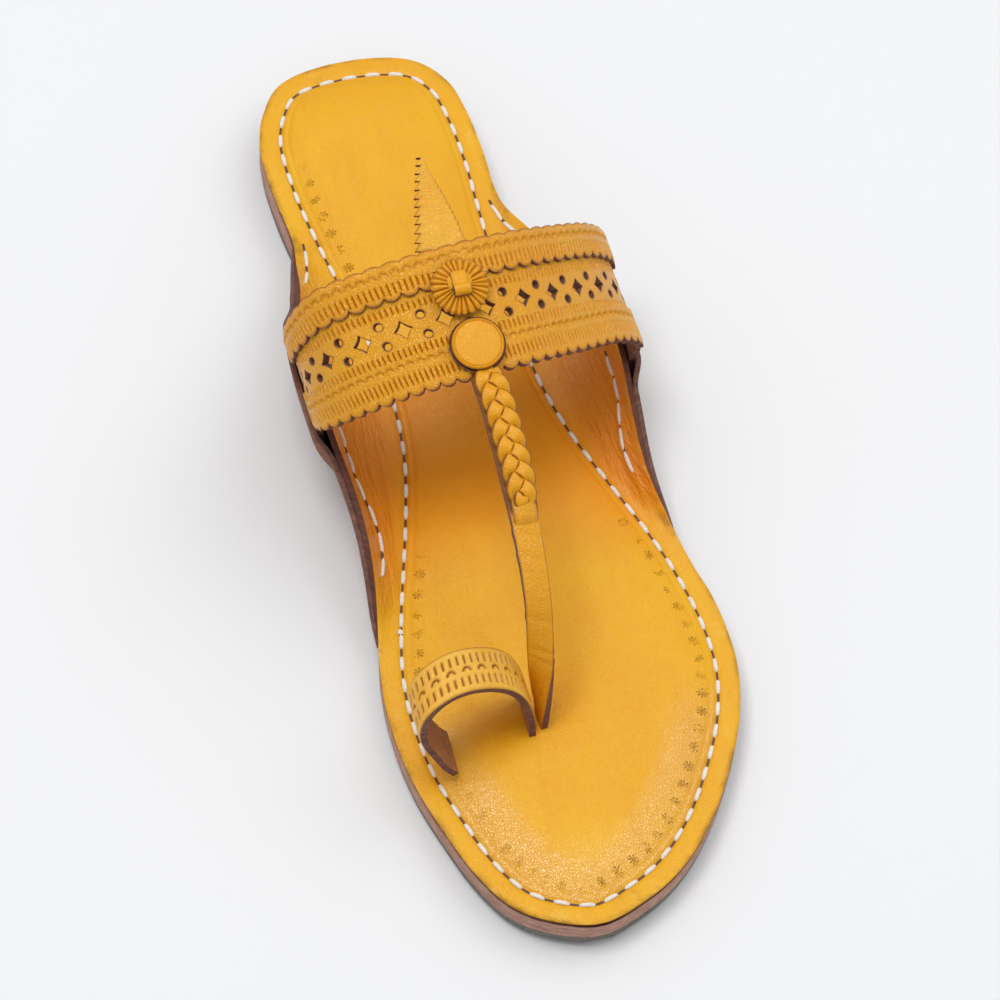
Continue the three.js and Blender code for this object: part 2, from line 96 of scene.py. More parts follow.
# %% [markdown]
# ## Reading a pattern
# A pattern gives a few points; leather runs smoothly between them. These helpers blend two values, ease
# from one level to the next, and draw a soft curve through points, as a bent lath would lie on the bench.
# %% Smooth curves through a pattern
def lerp(a, b, t):
    return a + (b - a) * t


def ease(value, start, stop):
    t = np.clip((value - start) / (stop - start), 0, 1)
    return t * t * (3 - 2 * t)


def read(table, name, y):
    """Smooth value of a pattern's column at y (scalar or array), between its rows."""
    ys, vs = -np.array(table["y"], float), np.array(table[name], float)
    at = np.clip(-np.asarray(y, float), ys[0], ys[-1])
    i = np.clip(np.searchsorted(ys, at, side="right") - 1, 0, len(ys) - 2)
    t = (at - ys[i]) / (ys[i + 1] - ys[i])
    last = len(ys) - 1
    a, b, c, d = (vs[np.clip(i + k, 0, last)] for k in (-1, 0, 1, 2))
    return 0.5 * (2 * b + (c - a) * t + (2 * a - 5 * b + 4 * c - d) * t**2 + (3 * b - a - 3 * c + d) * t**3)


def through(points, steps, skip=0):
    """A smooth curve through the points, with steps samples to each span (centripetal spacing)."""
    p = np.array(points, float)
    p = np.vstack([2 * p[0] - p[1], p, 2 * p[-1] - p[-2]])
    out = []
    for k in range(1 + skip, len(p) - 2 - skip):
        a, b, c, d = p[k - 1 : k + 3]
        d0, d1, d2 = (max(np.linalg.norm(q - r) ** 0.5, 1e-6) for q, r in ((b, a), (c, b), (d, c)))
        m1 = ((b - a) / d0 - (c - a) / (d0 + d1) + (c - b) / d1) * d1
        m2 = ((c - b) / d1 - (d - b) / (d1 + d2) + (d - c) / d2) * d1
        for t in np.arange(steps) / steps:
            out.append(
                (2 * t**3 - 3 * t**2 + 1) * b + (t**3 - 2 * t**2 + t) * m1
                + (3 * t**2 - 2 * t**3) * c + (t**3 - t**2) * m2
            )
    out.append(p[-2 - skip])
    return np.array(out)

# %% [markdown]
# ## Outline, levels and wings
# The sole's outline is one curve for each side. From it come the levels of every layer, the seam that runs
# inside the edge, and the surface of a wing, which leaves the seam flat and curls up to its free edge.
# %% Outline and levels of the sole
def outline_side(side):
    other = "lateral" if side == "medial" else "medial"
    rows = list(zip(SOLE[side], SOLE["y"]))
    points = [(SOLE[other][0], SOLE["y"][0]), (HEEL_TIP_X, HEEL_Y), *rows, (TOE_TIP_X, TOE_Y),
              (SOLE[other][-1], SOLE["y"][-1])]
    return through(points, 80, skip=1)


SIDES = {side: outline_side(side) for side in ("medial", "lateral")}


def edge_x(side, y):
    line = SIDES[side]
    return np.interp(-np.asarray(y, float), np.maximum.accumulate(-line[:, 1]), line[:, 0])


def toe_spring(y):
    return 2.0 * np.clip((TOE_Y + 45 - y) / 45, 0, 1) ** 2


def level(pair, y):
    return lerp(pair[0], pair[1], ease(y, -122, -45)) + toe_spring(y)


def floor_z(y):
    return toe_spring(y) + 1.2 * np.sin(np.pi * np.clip((y + 122) / 80, 0, 1)) ** 2


def cover_z(y):
    return level(SEAT, y) + GAP + COVER


def seam_x(side, y):
    width = edge_x("lateral", y) - edge_x("medial", y)
    inset = np.minimum(SEAM_INSET, 0.4 * width)
    return edge_x(side, y) + (inset if side == "medial" else -inset)

# %% Surface of a wing
def wing_edge(side, y):
    inside = (y < WING["y"][0]) & (y > WING["y"][-1])
    x = np.where(inside, read(WING, side + "_x", y), edge_x(side, y))
    z = np.where(inside, np.maximum(read(WING, side + "_z", y), cover_z(y)), cover_z(y))
    return x, z


def wing_point(side, y, share, out=0.0):
    """Point of a wing: share 0 is the seam and 1 the free edge; out moves it square to the leather."""
    y = np.asarray(y, float)
    seam, (edge, top) = seam_x(side, y), wing_edge(side, y)
    run, rise = edge - seam, top - cover_z(y)
    last = np.radians(lerp(12, 90, ease(rise, 0, 13)))
    a = share * last
    dx, dz = run * np.cos(a) / np.sin(last), rise * np.sin(a) / (1 - np.cos(last))
    size = np.maximum(np.hypot(dx, dz), 1e-9)
    x = seam + run * np.sin(a) / np.sin(last) + out * np.sign(run) * dz / size
    z = cover_z(y) + rise * (1 - np.cos(a)) / (1 - np.cos(last)) - out * np.abs(dx) / size
    return np.stack(np.broadcast_arrays(x, y, z), -1)


OUTLINE = np.vstack([SIDES["medial"], SIDES["lateral"][::-1][1:-1]])
outline_length = float(np.linalg.norm(np.diff(np.vstack([OUTLINE, OUTLINE[:1]]), axis=0), axis=1).sum())
BALL_Y = -155
ball_width = edge_x("lateral", BALL_Y) - edge_x("medial", BALL_Y)
print(f"sole: {HEEL_Y - TOE_Y:.0f} mm long, {ball_width:.0f} mm at the ball, "
      f"{outline_length:.0f} mm round the edge")

# %% [markdown]
# ## Bench tools
# Blender's operators work on what is selected, as hands work on what lies on the bench. These few helpers
# clear the bench, name what an operator has just added, move a sheet's vertices onto a shape (the way wet
# leather is pressed over a last), and apply a modifier.
# %% Clear the bench, name and press
def only(*pieces):
    """Selects these objects and nothing else; the last one is active."""
    if bpy.context.object and bpy.context.object.mode != "OBJECT":
        bpy.ops.object.mode_set(mode="OBJECT")
    bpy.ops.object.select_all(action="DESELECT")
    for piece in pieces:
        piece.select_set(True)
        bpy.context.view_layer.objects.active = piece


def named(name):
    piece = bpy.context.object
    piece.name = piece.data.name = name
    return piece


def points_of(piece):
    flat = np.empty(len(piece.data.vertices) * 3, np.float32)
    piece.data.vertices.foreach_get("co", flat)
    return flat.reshape(-1, 3).astype(float)


def press(piece, points):
    """Moves every vertex of the piece to its new place, in metres."""
    piece.data.vertices.foreach_set("co", np.asarray(points, np.float32).ravel())
    piece.data.update()


def note(piece, name, values):
    """Writes one number a vertex, for a finish to read."""
    layer = piece.data.attributes.new(name, "FLOAT", "POINT")
    layer.data.foreach_set("value", np.asarray(values, np.float32).ravel())

# %% [markdown]
# ## Sheets of leather
# Leather comes as a sheet, so a piece starts as a grid primitive pressed onto rows and columns of points.
# A Solidify modifier then gives the wall. Stamping comes after it and moves the good side only, so the
# flesh side stays smooth. What the finish needs to know, such as a dark rim, is noted on the vertices.
# %% A sheet, its stamped side and its thickness
ROWS_COLUMNS = {}              # for each sheet, the row and column of each of its vertices


def sheet(name, grid, notes=None):
    """A grid primitive pressed onto grid, rows x columns of points in millimetres."""
    rows, cols = grid.shape[:2]
    only()
    bpy.ops.mesh.primitive_grid_add(x_subdivisions=cols - 1, y_subdivisions=rows - 1, size=1)
    piece = named(name)
    flat = points_of(piece)
    j = np.rint((flat[:, 0] + 0.5) * (cols - 1)).astype(int)
    i = np.rint((flat[:, 1] + 0.5) * (rows - 1)).astype(int)
    press(piece, grid[i, j] * MM)
    for key, values in (notes or {}).items():
        note(piece, key, values[i, j])
    ROWS_COLUMNS[piece.name] = (i, j)
    return piece


def emboss(piece, shift):
    """Moves the good side of a thickened sheet by shift (rows x columns x 3, mm); the back stays smooth."""
    i, j = ROWS_COLUMNS[piece.name]
    p = points_of(piece)
    p[: len(i)] += shift[i, j] * MM
    press(piece, p)


def apply(piece, kind, **settings):
    """Adds a modifier with these settings and applies it."""
    only(piece)
    modifier = piece.modifiers.new(kind, kind)
    for key, value in settings.items():
        setattr(modifier, key, value)
    bpy.ops.object.modifier_apply(modifier=modifier.name)


def thicken(piece, wall, inner=1, edge=0.0):
    """Gives a sheet its wall, away from its good side, and takes edge mm off its rim. The rim takes the
    piece's second finish and the flesh side the one numbered inner."""
    apply(piece, "SOLIDIFY", thickness=wall * MM, offset=-1, use_even_offset=True, use_quality_normals=True,
          material_offset=inner, material_offset_rim=1)
    if edge:
        sharp = math.radians(55)
        apply(piece, "BEVEL", width=edge * MM, segments=2, limit_method="ANGLE", angle_limit=sharp)


def normals_of(grid):
    """Unit normals of a grid of points, columns across rows."""
    n = np.cross(np.gradient(grid, axis=1), np.gradient(grid, axis=0))
    return n / np.maximum(np.linalg.norm(n, axis=-1, keepdims=True), 1e-9)

# %% [markdown]
# ## Finishing a piece
# Every piece ends the same way: faces turned outwards, smooth shading up to a chosen angle, a place on the
# frame's one body, and the name of the plain CAD solid that it stands for. Repeated pieces are copied with a
# mesh of their own and joined.
# %% Dress, finish, join and copy
def dress(piece, *materials):
    for material in materials:
        piece.data.materials.append(material)


def finish(piece, node, angle=40):
    """Smooth shading, its place in the frame and the plain CAD part that it stands for."""
    only(piece)
    bpy.ops.object.mode_set(mode="EDIT")
    bpy.ops.mesh.select_all(action="SELECT")
    bpy.ops.mesh.normals_make_consistent(inside=False)
    bpy.ops.object.mode_set(mode="OBJECT")
    bpy.ops.object.shade_smooth_by_angle(angle=math.radians(angle))
    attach(piece, "root")
    if node:
        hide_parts(node)
    print(f"{piece.name}: {len(piece.data.polygons)} faces")


def join(name, pieces):
    only(*pieces)
    bpy.ops.object.join()
    return named(name)


def copies(model, places):
    """One copy of the model, with a mesh of its own, for each 4x4 place."""
    made = []
    for place in places:
        twin = model.copy()
        twin.data = model.data.copy()
        bpy.context.collection.objects.link(twin)
        twin.data.transform(place)
        made.append(twin)
    return made


def discard(piece):
    only(piece)
    bpy.ops.object.delete()


# %% [markdown]
# ## Leather, thread and edge finishes
# Dyed vegetable-tanned leather has a fine pebble grain, slow drifts of colour where the dye took more or
# less, and a soft sheen. Where the leather is stamped it turns darker and a little duller. All of it is
# built from noise and cell patterns read in the object's own coordinates, so it runs on over every piece.
# A small class keeps the making of nodes short: each method adds one node and hands back its output.
# %% A helper that lays out shader nodes
class Finish:
    """A small helper to lay out shader nodes in order."""

    def __init__(self, name):
        self.material = bpy.data.materials.new(name)
        self.material.use_nodes = True
        self.tree = self.material.node_tree
        self.shader = self.tree.nodes["Principled BSDF"]
        self.place = self.add("ShaderNodeTexCoord").outputs["Object"]

    def add(self, kind, inputs=None, **settings):
        node = self.tree.nodes.new(kind)
        for key, value in settings.items():
            setattr(node, key, value)
        for key, value in (inputs or {}).items():
            self.feed(node.inputs[key], value)
        return node

    def feed(self, socket, value):
        if isinstance(value, bpy.types.NodeSocket):
            self.tree.links.new(value, socket)
        else:
            socket.default_value = value

    def math(self, operation, a, b=0.0, c=0.0, clamp=False):
        node = self.add("ShaderNodeMath", {0: a, 1: b, 2: c}, operation=operation, use_clamp=clamp)
        return node.outputs[0]

    def times(self, a, b, clamp=False):
        return self.math("MULTIPLY", a, b, clamp=clamp)

    def plus(self, a, b):
        return self.math("ADD", a, b)

    def less(self, a, b):
        return self.math("SUBTRACT", a, b)

    def noise(self, scale, detail=3.0, roughness=0.55, where=None):
        inputs = {"Vector": where or self.place, "Scale": scale, "Detail": detail, "Roughness": roughness}
        return self.add("ShaderNodeTexNoise", inputs).outputs["Fac"]

    def cells(self, scale, feature="F1", where=None):
        inputs = {"Vector": where or self.place, "Scale": scale}
        return self.add("ShaderNodeTexVoronoi", inputs, feature=feature).outputs["Distance"]

    def stretch(self, x, y, z):
        return self.add("ShaderNodeMapping", {"Vector": self.place, "Scale": (x, y, z)}).outputs["Vector"]

    def span(self, value, low, high, to_low=0.0, to_high=1.0):
        inputs = {"Value": value, "From Min": low, "From Max": high, "To Min": to_low, "To Max": to_high}
        return self.add("ShaderNodeMapRange", inputs).outputs["Result"]

    def blend(self, share, first, second):
        node = self.add("ShaderNodeMix", data_type="RGBA")
        for socket, value in zip((node.inputs[0], node.inputs[6], node.inputs[7]), (share, first, second)):
            self.feed(socket, value)
        return node.outputs[2]

    def note(self, name):
        return self.add("ShaderNodeAttribute", attribute_name=name).outputs["Fac"]

    def bump(self, height, distance, strength=1.0, under=None):
        inputs = {"Height": height, "Distance": distance * MM, "Strength": strength}
        if under:
            inputs["Normal"] = under
        return self.add("ShaderNodeBump", inputs).outputs["Normal"]

    def set(self, **inputs):
        for key, value in inputs.items():
            self.feed(self.shader.inputs[key.replace("_", " ")], value)
        return self.material


def rgb(r, g, b):
    return (r, g, b, 1.0)

# %% [markdown]
# ## Yellow leather
# The dye is laid on in thin coats: yellow first, amber where it drifts, a paler tone where it is rubbed, and
# rust to burnt brown where an iron or a blade went in. Painted shade goes on top: a deep orange where the
# footbed lies in shade, and amber in the grain's valleys, partly the grain's own tone and partly painted
# shade that grows where the leather flexes. The grain is two sizes of cells, shaken so that they don't look
# printed; folds are stretched noise. The notes flex, wing, depth and stamp say where each belongs; depth
# carries the painted shade, and flex also brings the thin glaze that a worked edge takes.
# %% Yellow leather, colour by colour
YELLOW = rgb(0.93, 0.475, 0.007)
AMBER = rgb(0.82, 0.32, 0.004)
PALE = rgb(0.98, 0.61, 0.10)
# Painted shade: the deep orange that the note named depth lays where the footbed lies in shade.
PAINTED_SHADE = rgb(0.90, 0.24, 0.001)
RUST = rgb(0.42, 0.105, 0.004)
BURNT = rgb(0.15, 0.035, 0.008)


def dyed_colour(f, pale, warm):
    """Coats of dye: slow amber drifts, streaks along the foot and small paler spots."""
    drift = f.span(f.noise(24, 4.0, 0.6), 0.38, 0.66)
    mottle = f.span(f.noise(190, 4.0, 0.65), 0.35, 0.75)
    streaks = f.span(f.noise(90, 4.0, 0.6, where=f.stretch(1.7, 0.4, 1.0)), 0.44, 0.68)
    colour = f.blend(warm, f.blend(pale, YELLOW, PALE), AMBER)
    colour = f.blend(f.times(drift, 0.48), colour, AMBER)
    colour = f.blend(f.times(mottle, 0.12), colour, PALE)
    return f.blend(f.times(streaks, 0.30), colour, AMBER)


def grain_cells(f):
    """The large and the small pebbles of the grain, shaken out of line."""
    sway = f.add("ShaderNodeTexNoise", {"Vector": f.place, "Scale": 700.0, "Detail": 1.0}).outputs["Color"]
    shaken = f.add("ShaderNodeVectorMath", {0: sway, 1: (0.0007, 0.0007, 0.0007), 2: f.place},
                   operation="MULTIPLY_ADD").outputs[0]
    pebble = f.span(f.cells(1250, "DISTANCE_TO_EDGE", where=shaken), 0.0, 0.22)
    small = f.span(f.cells(2900, "DISTANCE_TO_EDGE", where=shaken), 0.0, 0.25)
    return pebble, small


def grained_surface(f, pebble, small, flex, wing, grain):
    """Bumps laid one on another: pebbles, short folds where a piece flexes, long folds on the wings."""
    pebbles = f.times(pebble, f.plus(0.30, f.times(flex, 0.50)))
    normal = f.bump(f.plus(pebbles, f.times(small, 0.24)), 0.13 * grain)
    short_folds = f.times(f.noise(330, 4.0, 0.6), f.plus(f.times(flex, 0.42), 0.06))
    normal = f.bump(short_folds, 0.5, under=normal)
    long_folds = f.noise(230, 4.0, 0.6, where=f.stretch(2.4, 0.22, 2.4))
    return f.bump(f.times(long_folds, wing), 1.05, under=normal)


# %% Stamped stars and wear of the footbed
STAR_PITCH, STAR_INSIDE = 5.7, 3.9      # along the seam, and inside it


def star_marks(f, along, across):
    """A row of stamped stars: eight rays in a ring round a dot, partly worn away."""
    u = f.times(f.less(f.math("FRACT", f.math("DIVIDE", along, STAR_PITCH)), 0.5), STAR_PITCH)
    v = f.less(across, STAR_INSIDE)
    radius = f.math("SQRT", f.plus(f.times(u, u), f.times(v, v)))
    rays = f.span(f.math("COSINE", f.times(f.math("ARCTAN2", v, u), 8.0)), 0.0, 0.8)
    ring = f.times(f.span(radius, 0.35, 0.55), f.span(radius, 1.45, 1.2))
    star = f.math("MAXIMUM", f.times(rays, ring), f.span(radius, 0.32, 0.15))
    worn = f.span(f.noise(330, 3.0, 0.7), 0.42, 0.60)
    return f.times(f.times(star, f.note("motif")), worn)


def worn_colour(f, colour, across, wing):
    """A rubbed edge, dry pale patches and dark scuffs, on the flat part only."""
    flat_part = f.span(wing, 0.0, 0.25, 1.0, 0.0)
    rubbed = f.times(f.span(across, -5.0, -3.9, 1.0, 0.0), f.span(f.noise(90, 4.0, 0.7), 0.42, 0.62))
    dry = f.times(f.span(across, -1.5, -2.5), f.span(f.noise(130, 5.0, 0.75), 0.56, 0.72))
    scuffs = f.times(f.span(f.noise(70, 5.0, 0.75), 0.60, 0.72), f.span(across, 3.0, -2.0))
    for mark, share, tone in ((rubbed, 0.5, BURNT), (dry, 0.45, PALE), (scuffs, 0.22, BURNT)):
        colour = f.blend(f.times(f.times(mark, flat_part), share), colour, tone)
    return colour


# %% The five yellow leathers
def yellow_leather(name, grain=1.0, pale=0.0, warm=0.0, glaze=0.3, stamped=False, motifs=False):
    f = Finish(name)
    flex, wing = f.note("flex"), f.note("wing")
    pebble, small = grain_cells(f)
    # Painted shade: the note named depth pulls the colour towards a shaded deep orange.
    colour = f.blend(f.times(f.note("depth"), 0.85, clamp=True), dyed_colour(f, pale, warm), PAINTED_SHADE)
    # The grain's valleys go amber: partly the grain's own tone, partly painted shade that grows with flex.
    creases = f.times(f.less(1.0, pebble), f.plus(0.08, f.times(flex, 0.62)))
    colour = f.blend(creases, colour, AMBER)
    rough = f.less(f.span(f.noise(420, 3.0), 0.3, 0.7, 0.32, 0.42), f.times(flex, 0.07))
    normal = grained_surface(f, pebble, small, flex, wing, grain)
    if stamped:
        stamp = f.note("stamp")
        colour = f.blend(f.span(stamp, 0.0, 0.6, 0.0, 0.5), colour, RUST)
        colour = f.blend(f.span(stamp, 0.6, 1.2, 0.0, 0.75), colour, BURNT)
        rough = f.plus(rough, f.times(stamp, 0.12))
    if motifs:
        across = f.note("seam_v")
        star = star_marks(f, f.note("seam_u"), across)
        colour = f.blend(f.times(star, 0.19), worn_colour(f, colour, across, wing), BURNT)
        normal = f.bump(f.less(1.0, star), 0.6, under=normal)
    f.set(Base_Color=colour, Roughness=rough, Normal=normal, Specular_IOR_Level=0.32,
          Specular_Tint=rgb(1.0, 0.86, 0.62))
    return f.set(Coat_Weight=f.times(flex, glaze, clamp=True), Coat_Roughness=0.24, Coat_Normal=normal)


LEATHER_FOOTBED = yellow_leather("footbed_leather", grain=0.9, glaze=1.7, motifs=True)
LEATHER_STAMPED = yellow_leather("stamped_leather", grain=1.2, warm=0.45, stamped=True)
LEATHER_PLAIN = yellow_leather("strap_leather", grain=1.0, warm=0.5, stamped=True)
LEATHER_TAIL = yellow_leather("tail_leather", grain=1.2, pale=0.5, stamped=True)
LEATHER_LOOP = yellow_leather("loop_leather", grain=0.9, pale=0.8, stamped=True)
print("leather nodes:", len(LEATHER_FOOTBED.node_tree.nodes))


# %% [markdown]
# ## Cut edges, lining and thread
# A cut through leather shows pressed fibres that run along the sheet, so stretched noise makes them; the
# sole's edge adds lines where its layers meet. The sheet under the sole is gritty and grey. Thread is
# twisted, and a hole is simply dark. These finishes are rough, with hardly any shine.
# %% Cut edges and lining
def cut_edge(name, dark, light, layers=0.0):
    f = Finish(name)
    fibres = f.noise(900, 4.0, 0.7, where=f.stretch(0.35, 0.35, 2.2))
    colour = f.blend(f.span(fibres, 0.3, 0.7), dark, light)
    colour = f.blend(f.times(f.span(f.noise(140, 3.0), 0.4, 0.7), 0.35), colour, dark)
    if layers:
        lines = f.noise(520, 2.0, 0.5, where=f.stretch(0.06, 0.06, 2.6))
        colour = f.blend(f.times(f.span(lines, 0.52, 0.66), layers), colour, dark)
    normal = f.bump(f.plus(fibres, f.times(f.noise(3000, 2.0), 0.4)), 0.14, 0.9)
    return f.set(Base_Color=colour, Roughness=0.78, Normal=normal, Specular_IOR_Level=0.3)


EDGE_BROWN = cut_edge("cut_edge_brown", rgb(0.095, 0.036, 0.026), rgb(0.29, 0.14, 0.105))
EDGE_COVER = cut_edge("cover_edge", rgb(0.09, 0.025, 0.015), rgb(0.20, 0.07, 0.04))
LINING = cut_edge("suede_lining", rgb(0.16, 0.06, 0.03), rgb(0.36, 0.16, 0.085))
LOOP_INSIDE = cut_edge("loop_inside", rgb(0.26, 0.09, 0.035), rgb(0.54, 0.24, 0.10))
SOLE_TAN = cut_edge("sole_edge_tan", rgb(0.33, 0.155, 0.105), rgb(0.70, 0.43, 0.33), layers=0.6)


# %% Grey sheet and threads
def grey_sheet():
    f = Finish("sole_sheet_grey")
    grit = f.noise(1500, 4.0, 0.7)
    colour = f.blend(f.span(grit, 0.35, 0.65), rgb(0.13, 0.115, 0.095), rgb(0.27, 0.245, 0.21))
    patches = f.times(f.span(f.noise(60, 3.0), 0.45, 0.7), 0.4)
    colour = f.blend(patches, colour, rgb(0.1, 0.085, 0.07))
    return f.set(Base_Color=colour, Roughness=0.85, Normal=f.bump(grit, 0.2, 0.9))


def thread_finish(name, noise, span, dark, light, depth):
    """Spun thread, or the dark inside of a stitch hole."""
    f = Finish(name)
    twist = f.noise(*noise)
    colour = f.blend(f.span(twist, *span), dark, light)
    return f.set(Base_Color=colour, Roughness=0.7, Normal=f.bump(twist, *depth))


SHEET_GREY = grey_sheet()
THREAD_WHITE = thread_finish("thread_white", (2400, 2.0, 0.5), (0.3, 0.7), rgb(0.74, 0.68, 0.58),
                             rgb(0.96, 0.94, 0.89), (0.12, 0.8))
THREAD_DARK = thread_finish("stitch_hole_brown", (2000, 2.0), (0.0, 1.0), rgb(0.06, 0.018, 0.008),
                            rgb(0.17, 0.06, 0.025), (0.1, 0.7))
print("finishes:", len(bpy.data.materials))

# %% [markdown]
# ## The stacked sole
# Two plates are cut to the same outline: a thin grey outsole that touches the ground and a tan leather
# midsole. Each starts as a flat grid, is pressed to the outline, extruded upwards and its top pressed to
# the next level, because the sole thickens towards the heel and lifts a little at the toe.
# %% Two plates cut to one outline
def rows_along(count, inset=0.0):
    """Places along the sole, crowded together at its round ends, toe first."""
    a = np.linspace(math.pi, 0, count)
    return lerp(TOE_Y + 0.05 + inset, HEEL_Y - 0.05 - inset, (1 + np.cos(a)) / 2)


EXTRUDED = 0.05                # metres; far above the sole, so that the copied top is easy to tell


def plate(name, inset, lower, upper, notch=None):
    y = rows_along(150, inset)[:, None]
    t = np.linspace(0, 1, 25)[None, :]
    medial, lateral = edge_x("medial", y) + inset, edge_x("lateral", y) - inset
    x = lerp(medial, lateral, t)
    low = np.stack(np.broadcast_arrays(x, y, lower(y)), -1)
    high = np.stack(np.broadcast_arrays(x, y, upper(y) - (notch(x, y) if notch else 0)), -1)
    piece = sheet(name, low)
    tree = kdtree.KDTree(low.shape[0] * low.shape[1])
    for k, point in enumerate(low.reshape(-1, 3) * MM):
        tree.insert(point, k)
    tree.balance()
    bpy.ops.object.mode_set(mode="EDIT")
    bpy.ops.mesh.select_all(action="SELECT")
    bpy.ops.mesh.extrude_region_move(TRANSFORM_OT_translate={"value": (0, 0, EXTRUDED)})
    bpy.ops.object.mode_set(mode="OBJECT")
    now = points_of(piece)
    tops = high.reshape(-1, 3) * MM
    for k in np.nonzero(now[:, 2] > EXTRUDED - 0.02)[0]:
        x, y, z = now[k]
        now[k] = tops[tree.find(Vector((x, y, z - EXTRUDED)))[1]]
    press(piece, now)
    return piece


def flange_seat(x, y):
    """The midsole is pared away under the edge of each wing's backing."""
    deep = ((y > -138) & (y < -17)).astype(float)
    beyond = np.minimum(x - seam_x("medial", y), seam_x("lateral", y) - x) < -0.6
    return (BACKING + 2 * GAP) * deep * beyond


outsole = plate("outsole_sheet", 0.5, floor_z, lambda y: level(TREAD, y))
dress(outsole, SHEET_GREY)
finish(outsole, "outsole")
midsole = plate("midsole_stack", 0.0, lambda y: level(TREAD, y) + GAP, lambda y: level(SEAT, y),
                flange_seat)
dress(midsole, SOLE_TAN)
finish(midsole, "midsole")

# %% [markdown]
# ## The moulded footbed
# One skin of yellow leather covers the sole. Inside the seam it swells over a thin pad; at the waist its
# two sides sweep up into wings that hold the band. The grid has closer columns at the seam, so that the
# stitch channel, a real groove, is smooth; the wings carry creases where the leather was drawn upwards.
# %% How far each place lies from the edge
def closed_line_tree(line):
    dense = np.vstack([line, line[:1]])
    steps = np.r_[0, np.cumsum(np.linalg.norm(np.diff(dense, axis=0), axis=1))]
    at = np.arange(0, steps[-1], 0.2)
    points = np.stack([np.interp(at, steps, dense[:, k]) for k in (0, 1)], -1)
    tree = kdtree.KDTree(len(points))
    for k, (x, y) in enumerate(points):
        tree.insert((x, y, 0), k)
    tree.balance()
    return tree, at, points


edge_tree, edge_at, edge_points = closed_line_tree(OUTLINE)

# %% The skin laid flat on the sole and wings
y_rows = rows_along(200)
wing_share = np.linspace(1, 0, 19)[:-1] ** 1.7
middle = np.linspace(0, 1, 85)
middle = 0.55 * (1 - np.cos(math.pi * middle)) / 2 + 0.45 * middle
SIDE = len(wing_share)         # columns outside one seam
columns = SIDE * 2 + len(middle)
LAST = columns - 1
WING_COLUMNS = {"medial": (SIDE, range(SIDE)), "lateral": (LAST - SIDE, range(LAST, LAST - SIDE, -1))}
base = np.empty((len(y_rows), columns, 3))
for k, share in enumerate(wing_share):
    base[:, k] = wing_point("medial", y_rows, share)
    base[:, LAST - k] = wing_point("lateral", y_rows, share)
for k, t in enumerate(middle):
    base[:, SIDE + k, 0] = lerp(seam_x("medial", y_rows), seam_x("lateral", y_rows), t)
    base[:, SIDE + k, 1] = y_rows
    base[:, SIDE + k, 2] = cover_z(y_rows)

inside_edge = np.empty(base.shape[:2])
seam_along = np.empty(base.shape[:2])
for i in range(base.shape[0]):
    for j in range(columns):
        x, y, _ = base[i, j]
        _, nearest, far = edge_tree.find((x, y, 0))
        inside_edge[i, j] = far - SEAM_INSET
        seam_along[i, j] = edge_at[nearest]
waist = (y_rows < WING["y"][0]) & (y_rows > WING["y"][-1])
for seam_column, order in WING_COLUMNS.values():
    for k in order:
        reach = np.linalg.norm(base[:, k] - base[:, seam_column], axis=1)
        inside_edge[waist, k] = (inside_edge[:, seam_column] - reach)[waist]
        seam_along[waist, k] = seam_along[waist, seam_column]
print("footbed grid:", base.shape[0], "x", columns)


# %% [markdown]
# ## Pad, channel and creases
# The footbed gets its look from relief: a crown over the pad, highest at the toes, a groove pulled in by
# the stitches, and creases where the leather was drawn up into the wings or sits round the loop's feet.
# Each crease is placed as a soft trough with a low ridge beside it.
# %% The relief
# Each crease: side, then place along the foot and up the wing (0-1) at both ends, depth, width.
CREASES = [
    ("medial", -84, 0.62, -120, 0.42, 0.5, 1.3), ("medial", -82, 0.46, -116, 0.26, 0.45, 1.2),
    ("medial", -86, 0.78, -124, 0.66, 0.38, 1.1), ("medial", -80, 0.32, -108, 0.14, 0.4, 1.0),
    ("lateral", -78, 0.60, -116, 0.42, 0.6, 1.4), ("lateral", -76, 0.46, -112, 0.28, 0.5, 1.2),
    ("lateral", -80, 0.84, -122, 0.76, 0.4, 1.1), ("lateral", -76, 0.32, -104, 0.16, 0.45, 1.0),
    ("medial", -58, 0.60, -36, 0.46, 0.4, 1.2), ("lateral", -48, 0.60, -28, 0.46, 0.4, 1.2),
    ("medial", -60, 0.36, -34, 0.24, 0.35, 1.1), ("lateral", -50, 0.34, -30, 0.22, 0.35, 1.1),
]
x_all, y_all = base[:, :, 0], base[:, :, 1]
pad_rise = PAD_RISE + 1.3 * ease(-y_rows, 120, 190)[:, None]
pad_blend = PAD_BLEND + 4.0 * ease(-y_rows, 120, 190)[:, None]
swell = pad_rise * (1 - (1 - np.clip(inside_edge / pad_blend, 0, 1)) ** 2.5)
channel = -0.5 * np.exp(-((inside_edge / 0.75) ** 2)) - 0.25 * np.exp(-(((inside_edge - 1.9) / 0.5) ** 2))
medial_half = (np.arange(columns) < columns / 2)[None, :]
across_share = np.concatenate([wing_share, np.zeros(len(middle)), wing_share[::-1]])
share_map = across_share[None, :] * waist[:, None]
folds = np.zeros(base.shape[:2])
for side, y0, s0, y1, s1, depth, width in CREASES:
    # The middle column lies level with both seams; here it counts as lateral.
    own_side = ((np.arange(columns) < columns // 2) == (side == "medial"))[None, :]
    run = np.clip((y_all - y0) / (y1 - y0), 0, 1)
    fade = np.sin(math.pi * run) ** 0.5
    edge_column = base[:, 0 if side == "medial" else LAST]
    wing_size = np.maximum(np.linalg.norm(edge_column - base[:, WING_COLUMNS[side][0]], axis=1), 1.0)
    away = (share_map - lerp(s0, s1, run)) * wing_size[:, None]
    trough = np.exp(-((away / width) ** 2))
    ridge = np.exp(-(((away - 1.8 * width) / width) ** 2))
    folds -= np.where(own_side, depth * fade * (trough - 0.5 * ridge), 0)

